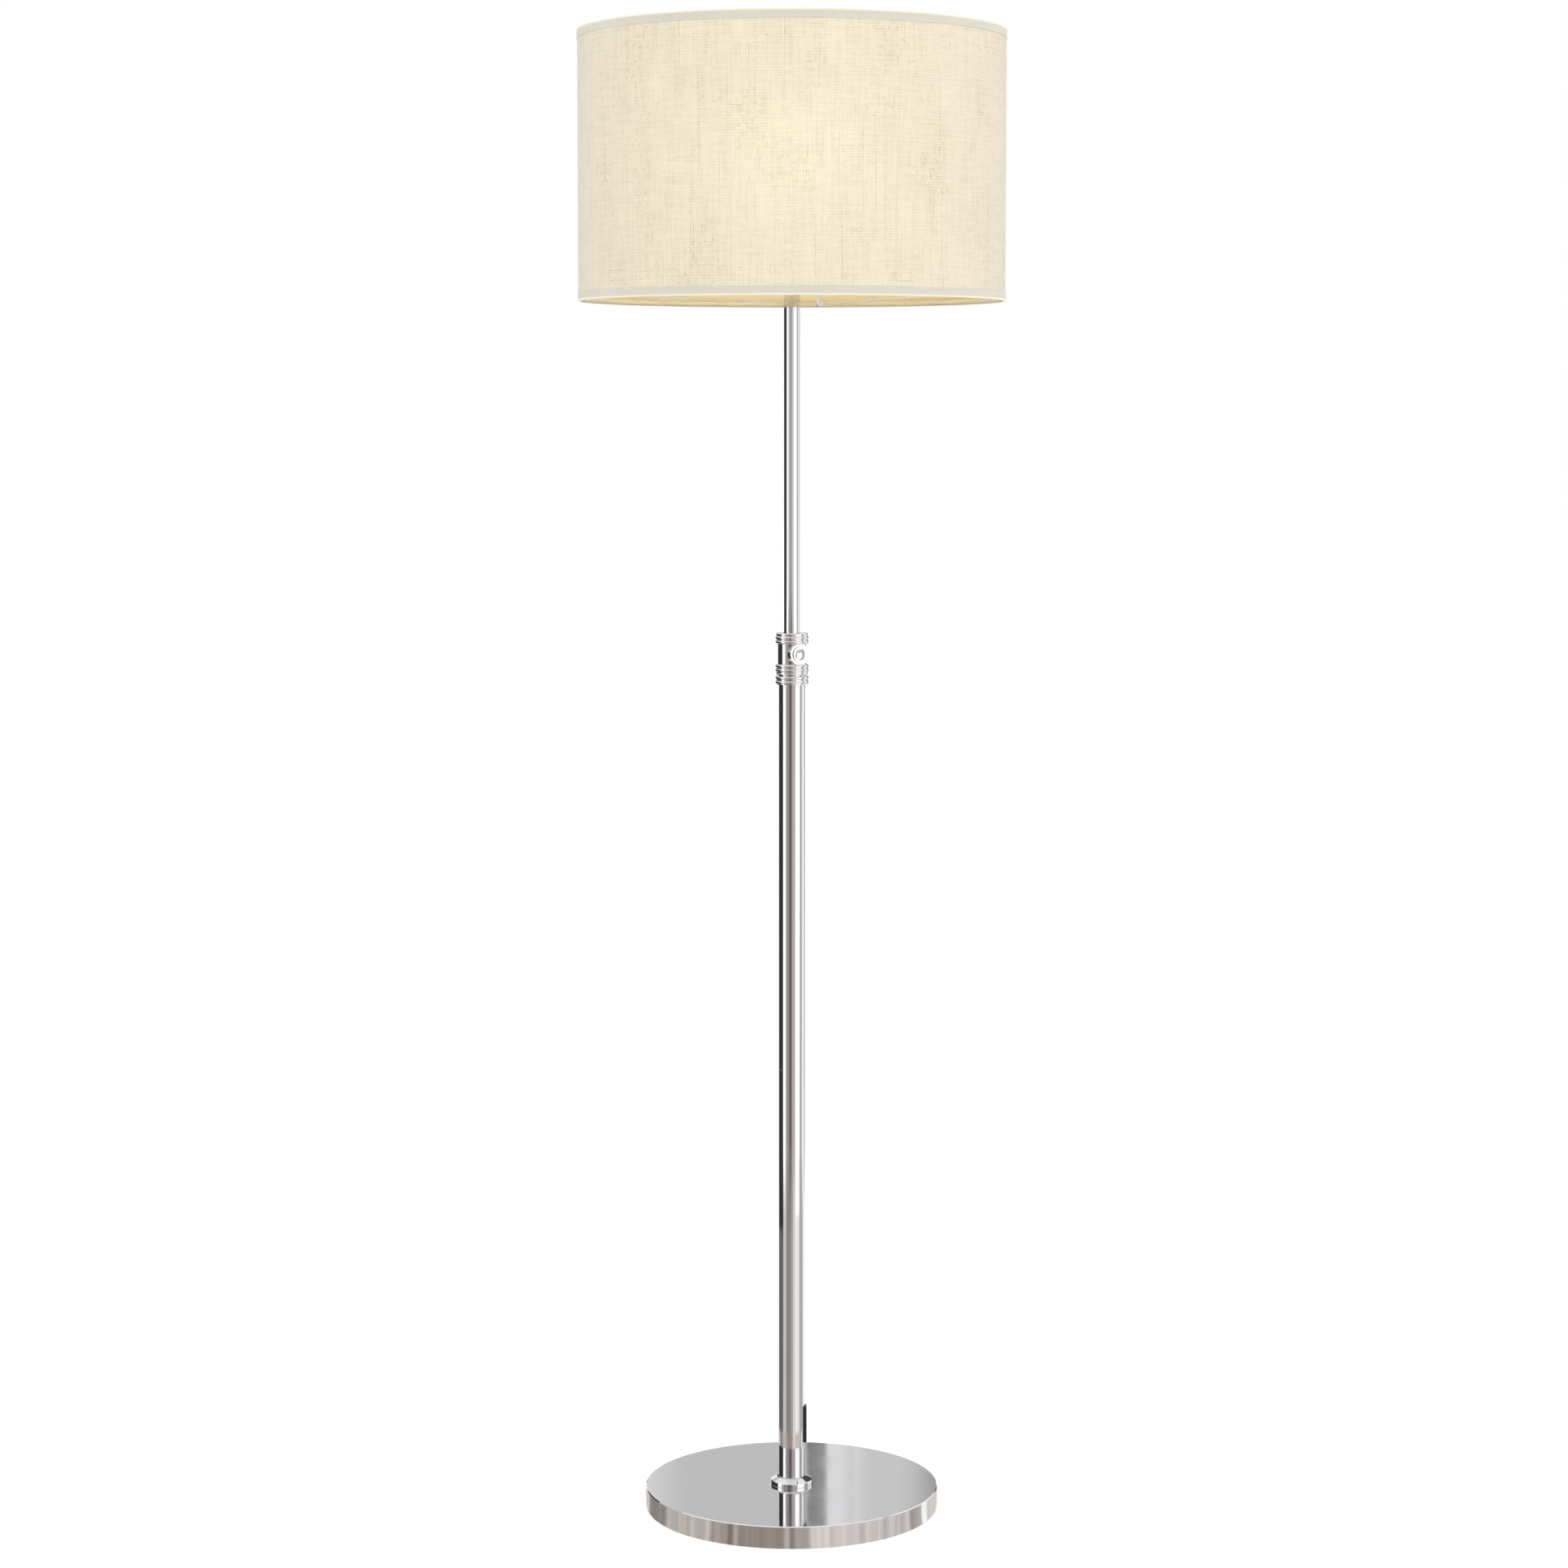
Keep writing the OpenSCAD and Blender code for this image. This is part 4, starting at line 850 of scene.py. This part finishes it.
class LAMP_OT_base_and_switch(bpy.types.Operator):
    """The felt pad, and the finishes of the weight, the grommet, the switch and the small metal pieces"""
    bl_idname = "lamp.base_and_switch"
    bl_label = "Base and switch"

    def execute(self, context):
        """The pad is a disc: rings out to its edge, round the edge by a quarter circle above and below, and back."""
        s = context.scene.lamp_fittings
        low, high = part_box("base_pad")
        radius, rounding = high.x, s.pad_rounding
        quarter = np.linspace(0, math.pi / 2, 5)
        rings = np.linspace(0, radius - rounding, 24)
        r = np.concatenate([rings, radius - rounding + rounding * np.sin(quarter),
                            radius - rounding + rounding * np.cos(quarter), rings[::-1]])[:, None]
        z = np.concatenate([0 * rings + high.z, high.z - rounding + rounding * np.cos(quarter),
                            low.z + rounding - rounding * np.sin(quarter), 0 * rings + low.z])[:, None]
        pad = surface("felt_pad", turned_points(r, z, full_circle(180)), "base", felt(), wrap_rows=False)
        close_poles(pad)
        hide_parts("base_pad")
        paint(["base_weight"], cast_iron())
        paint(["cord_grommet"], moulded("black_rubber", (0.018, 0.018, 0.018), 0.62, 2e-5))
        paint(["switch_housing", "switch_rocker"], moulded("black_plastic", (0.012, 0.012, 0.013), 0.3, 6e-6))
        paint(ZINC, zinc_plate())
        paint(BRASS, brass())
        paint(NYLON, moulded("nylon", (0.82, 0.82, 0.78), 0.42, 6e-6))
        return {"FINISHED"}


class LAMP_OT_stage(bpy.types.Operator):
    """The pale floor, the soft lamps, the cards that the chrome mirrors, and the camera"""
    bl_idname = "lamp.stage"
    bl_label = "Studio"

    # The cards that the chrome sees, in bands: foot and top in metres, and for each card its first and last
    # azimuth in degrees, its level, and its green and blue as shares of its red
    upright = (
        (0.06, 2.4, ((-190, -171, 0.606, 1.0, 1.0),)),
        (0.06, 0.8, (
            (-79, -57, 1.592, 1.0, 0.99), (-57, -44, 0.6, 0.96, 0.92), (-44, -20, 0.346, 0.95, 0.91),
            (-20, -4, 0.138, 0.76, 0.74), (-4, 5, 0.385, 0.8, 0.78), (5, 30, 0.55, 0.95, 0.93))),
        (0.8, 1.24, (
            (-79, -44, 1.2, 1.0, 0.99), (-44, -20, 0.53, 0.97, 0.94), (-20, -4, 0.415, 0.95, 0.93),
            (-4, 12, 0.6, 0.96, 0.95), (12, 32, 0.86, 0.98, 0.98))),
        (0.06, 1.24, (
            (76, 100, 0.484, 0.99, 0.97), (101, 136, 1.073, 1.0, 1.0), (144, 170, 0.083, 0.98, 0.95),
            (170, 176, 0.675, 1.0, 1.0), (176, 177.6, 0.834, 1.0, 1.01), (177.7, 179.0, 0.379, 0.99, 0.97),
            (179.1, 190, 0.606, 1.0, 1.0))),
    )
    # Cards so far off that the base's top mirrors what is above them
    far = (
        (-0.1, 1.3, (
            (-150, -79, 0.048, 0.93, 0.88), (34, 71, 1.522, 1.0, 1.0))),
        (1.3, 2.4, ((-200, 200, 0.62, 1.0, 1.0),)),
    )
    # Cards on the floor, in bands from one radius to another. The near ones go by the azimuth of the base's
    # rim that mirrors them, and the rest by their own.
    near = (
        (0.1, 0.27, (
            (-100, -76, 0.68, 0.95, 0.9), (-76, -58, 0.31, 0.93, 0.87), (-58, -33, 0.6, 0.9, 0.82),
            (-33, -23, 0.47, 0.89, 0.8), (-23, -1, 0.35, 0.87, 0.77), (-1, 7, 0.5, 0.9, 0.82),
            (7, 24, 0.81, 0.93, 0.88), (24, 53, 0.68, 0.94, 0.89), (53, 62, 0.52, 0.94, 0.89),
            (62, 66, 1.25, 1.0, 1.0), (66, 100, 0.74, 0.96, 0.92))),
    )
    lying = (
        (0.27, 1.2, ((-150, -80, 0.166, 0.93, 0.87),)),
        (1.2, 3.1, ((-150, -79, 0.048, 0.93, 0.88),)),
        (0.27, 1.66, (
            (-80, -48, 0.692, 0.94, 0.88), (-48, -8, 0.318, 0.92, 0.84), (-8, 12, 0.457, 0.94, 0.88),
            (12, 34, 0.865, 0.96, 0.92), (64, 78, 0.76, 0.96, 0.91), (78, 112, 0.5, 0.95, 0.9),
            (112, 150, 1.038, 0.98, 0.96))),
        (0.27, 1.3, ((34, 64, 1.07, 0.97, 0.93),)),
        (1.3, 3.1, ((34, 71, 1.522, 1.0, 1.0),)),
    )
    card_radius = 1.2
    far_radius = 3.0
    inner_radius = 0.1415  # just outside the base
    wall_height = 2.6
    card_fade = 7.0  # degrees over which a card fades at its sides, at most
    upright_fade = 0.12  # and metres over which it fades at its ends
    far_fade = 0.04
    lying_fade = 0.03
    above_floor = 0.5 * MM
    ceiling_height = 2.7
    ceiling_radii = (0.02, 1.4)
    floor_size = 60.0

    def execute(self, context):
        s = context.scene.lamp_stage
        self.light(context, s)
        self.floor()
        self.reflectors()
        self.camera(context, s)
        context.scene.view_settings.view_transform = "Standard"
        return {"FINISHED"}

    def camera(self, context, s):
        """The photograph's view: from the front, a little to the left, looking down by a few degrees."""
        data = bpy.data.cameras.new("camera")
        data.sensor_width = 36
        data.lens = s.camera_lens
        data.shift_y = s.camera_shift
        data.clip_end = 200
        camera = bpy.data.objects.new("camera", data)
        camera.location = (-s.camera_left, -s.camera_distance, s.camera_height)
        camera.rotation_euler = (math.pi / 2 - s.camera_pitch, 0, 0)
        context.scene.collection.objects.link(camera)
        context.scene.camera = camera

    def light(self, context, s):
        """An even sky and two very soft lamps, the stronger one from the upper right."""
        world = bpy.data.worlds.new("studio")
        f = Finish("studio", world)
        seen = f.seen_directly()
        level = seen + (1 - seen) * s.sky_level
        shader = f.node("Background", {"Color": (1, 1, 1), "Strength": level})[0]
        f.node("OutputWorld", {"Surface": shader})
        context.scene.world = world
        for name, energy, turn, size in (
                ("key", s.sun_level, (52, 0, 60), 50), ("fill", s.sun_level * 0.7, (60, 0, -70), 60)):
            data = bpy.data.lights.new(name, "SUN")
            data.energy = energy
            data.angle = math.radians(size)
            lamp = bpy.data.objects.new(name, data)
            lamp.rotation_euler = [math.radians(a) for a in turn]
            lamp.visible_glossy = False
            context.scene.collection.objects.link(lamp)

    def floor(self):
        """A flat sheet on which shadows show while the rest of it is white to the eye."""
        half = self.floor_size / 2
        x, y = np.meshgrid(*[np.linspace(-half, half, 3)] * 2)
        f = Finish("pale_floor")
        seen = f.seen_directly()
        grain = f.noise(3, 2)
        plain = f.node("BsdfDiffuse", {"Color": f.shaded((0.8, 0.8, 0.8), 0.99 + grain * 0.02)})[0]
        pale = f.node("BsdfDiffuse", {"Color": (0.34, 0.34, 0.34)})[0]
        glow = f.node("Emission", {"Color": (1, 1, 1), "Strength": 0.76})[0]
        white = f.node("AddShader", [pale, glow])[0]
        sheet = surface("floor", np.stack([x, y, 0 * x], -1), None, f.done(f.blend_shaders(seen, plain, white)),
                        wrap_rows=False, wrap_columns=False)

    def reflectors(self):
        """What the chrome mirrors: flags and soft boxes that stand round the lamp, others far behind them, their
        feet, which lie on the floor, and a soft box overhead. Only mirrors see them."""
        height = np.linspace(0.0, self.wall_height, 3)[:, None]
        ground = np.linspace(self.inner_radius, self.far_radius, 5)[:, None]
        ceiling = np.array(self.ceiling_radii)[:, None]
        for name, radius, z, finish in (
                ("standing_flags", self.card_radius, height, self.panels(self.upright_fade, self.upright)),
                ("far_flags", self.far_radius, height, self.panels(self.far_fade, self.far)),
                ("lying_flags", ground, self.above_floor, self.panels(self.lying_fade, self.lying, self.near)),
                ("soft_box_overhead", ceiling, self.ceiling_height, self.soft_box())):
            finish.name = name
            sheet = surface(name, turned_points(radius, z, full_circle(180)), None, finish, wrap_rows=False)
            for kind in ("camera", "diffuse", "transmission", "volume_scatter", "shadow"):
                setattr(sheet, "visible_" + kind, False)

    def soft_box(self):
        """White light, a little uneven."""
        f = Finish("soft_box")
        glow = 0.95 + f.noise(1) * 0.1
        return f.done(f.node("Emission", {"Strength": glow})[0])

    def mirrored_at(self, f, azimuth, radius):
        """The azimuth p of the base's rim that mirrors a point of the floor to a far viewer, in radians.

        It solves sin(2 p - azimuth) = rim radius / radius * sin(p), by putting p in four times.
        """
        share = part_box("base_cover")[1].x / radius
        at = azimuth * 0.83  # a first guess
        for _ in range(4):
            at = (azimuth + f.math("ARCSINE", f.math("SINE", at) * share)) * 0.5
        return at

    def panels(self, fade, bands, near=()):
        """Light from bands of cards, soft at their sides, and over fade metres at their ends; between the cards
        the sheet is clear.

        The cards stand, from one height to another. With near ones they lie, from one radius to another, and the
        near ones are placed by the azimuth of the base's rim that mirrors them to the viewer.
        """
        f = Finish("cards")
        x, y, z = f.split(f.place)
        radius = (x * x + y * y) ** 0.5
        azimuth = f.math("ARCTAN2", x, y * -1)
        groups = [(azimuth * (180 / math.pi), bands)]
        if near:
            groups.insert(0, (self.mirrored_at(f, azimuth, radius) * (180 / math.pi), near))
        reach = radius if near else z
        light, cover = (0.0, 0.0, 0.0), 0.0
        for turn, group in groups:
            for foot, top, cards in group:
                ends = f.between(reach, foot, top, fade)
                for first, last, level, green, blue in cards:
                    part = f.between(turn, first, last, min(self.card_fade, (last - first) / 3)) * ends
                    light = f.mix(part, light, (level, level * green, level * blue), "ADD")
                    cover = part + cover
        clear = f.node("BsdfTransparent", {"Color": f.shaded(WHITE, 1 - cover)})[0]
        shine = f.node("Emission", {"Color": light, "Strength": 1.0})[0]
        return f.done(f.node("AddShader", [clear, shine])[0])


OPERATORS = (
    LAMP_OT_stage, LAMP_OT_shade_cloth, LAMP_OT_edging, LAMP_OT_shade_inside, LAMP_OT_lampholder,
    LAMP_OT_bulb, LAMP_OT_chrome_pieces, LAMP_OT_base_and_switch,
)


class LAMP_PT_sidebar(bpy.types.Panel):
    """Lists the lamp's operators and settings"""
    bl_label = "Floor Lamp"
    bl_idname = "LAMP_PT_sidebar"
    bl_space_type = "VIEW_3D"
    bl_region_type = "UI"
    bl_category = "Floor Lamp"

    def draw(self, context):
        for operator in OPERATORS:
            self.layout.operator(operator.bl_idname)
        for key, group in GROUPS.items():
            box = self.layout.box()
            for setting in group.__annotations__:
                box.prop(getattr(context.scene, key), setting)


def register():
    """Registers the settings, the operators and the panel."""
    for group in GROUPS.values():
        bpy.utils.register_class(group)
    for key, group in GROUPS.items():
        setattr(bpy.types.Scene, key, PointerProperty(type=group))
    for kind in (*OPERATORS, LAMP_PT_sidebar):
        bpy.utils.register_class(kind)


def unregister():
    """Takes back what register did."""
    for kind in (LAMP_PT_sidebar, *reversed(OPERATORS)):
        bpy.utils.unregister_class(kind)
    for key in GROUPS:
        delattr(bpy.types.Scene, key)
    for group in GROUPS.values():
        bpy.utils.unregister_class(group)


def main():
    register()
    for operator in OPERATORS:
        group, name = operator.bl_idname.split(".")
        getattr(getattr(bpy.ops, group), name)()


if __name__ == "__main__":
    main()
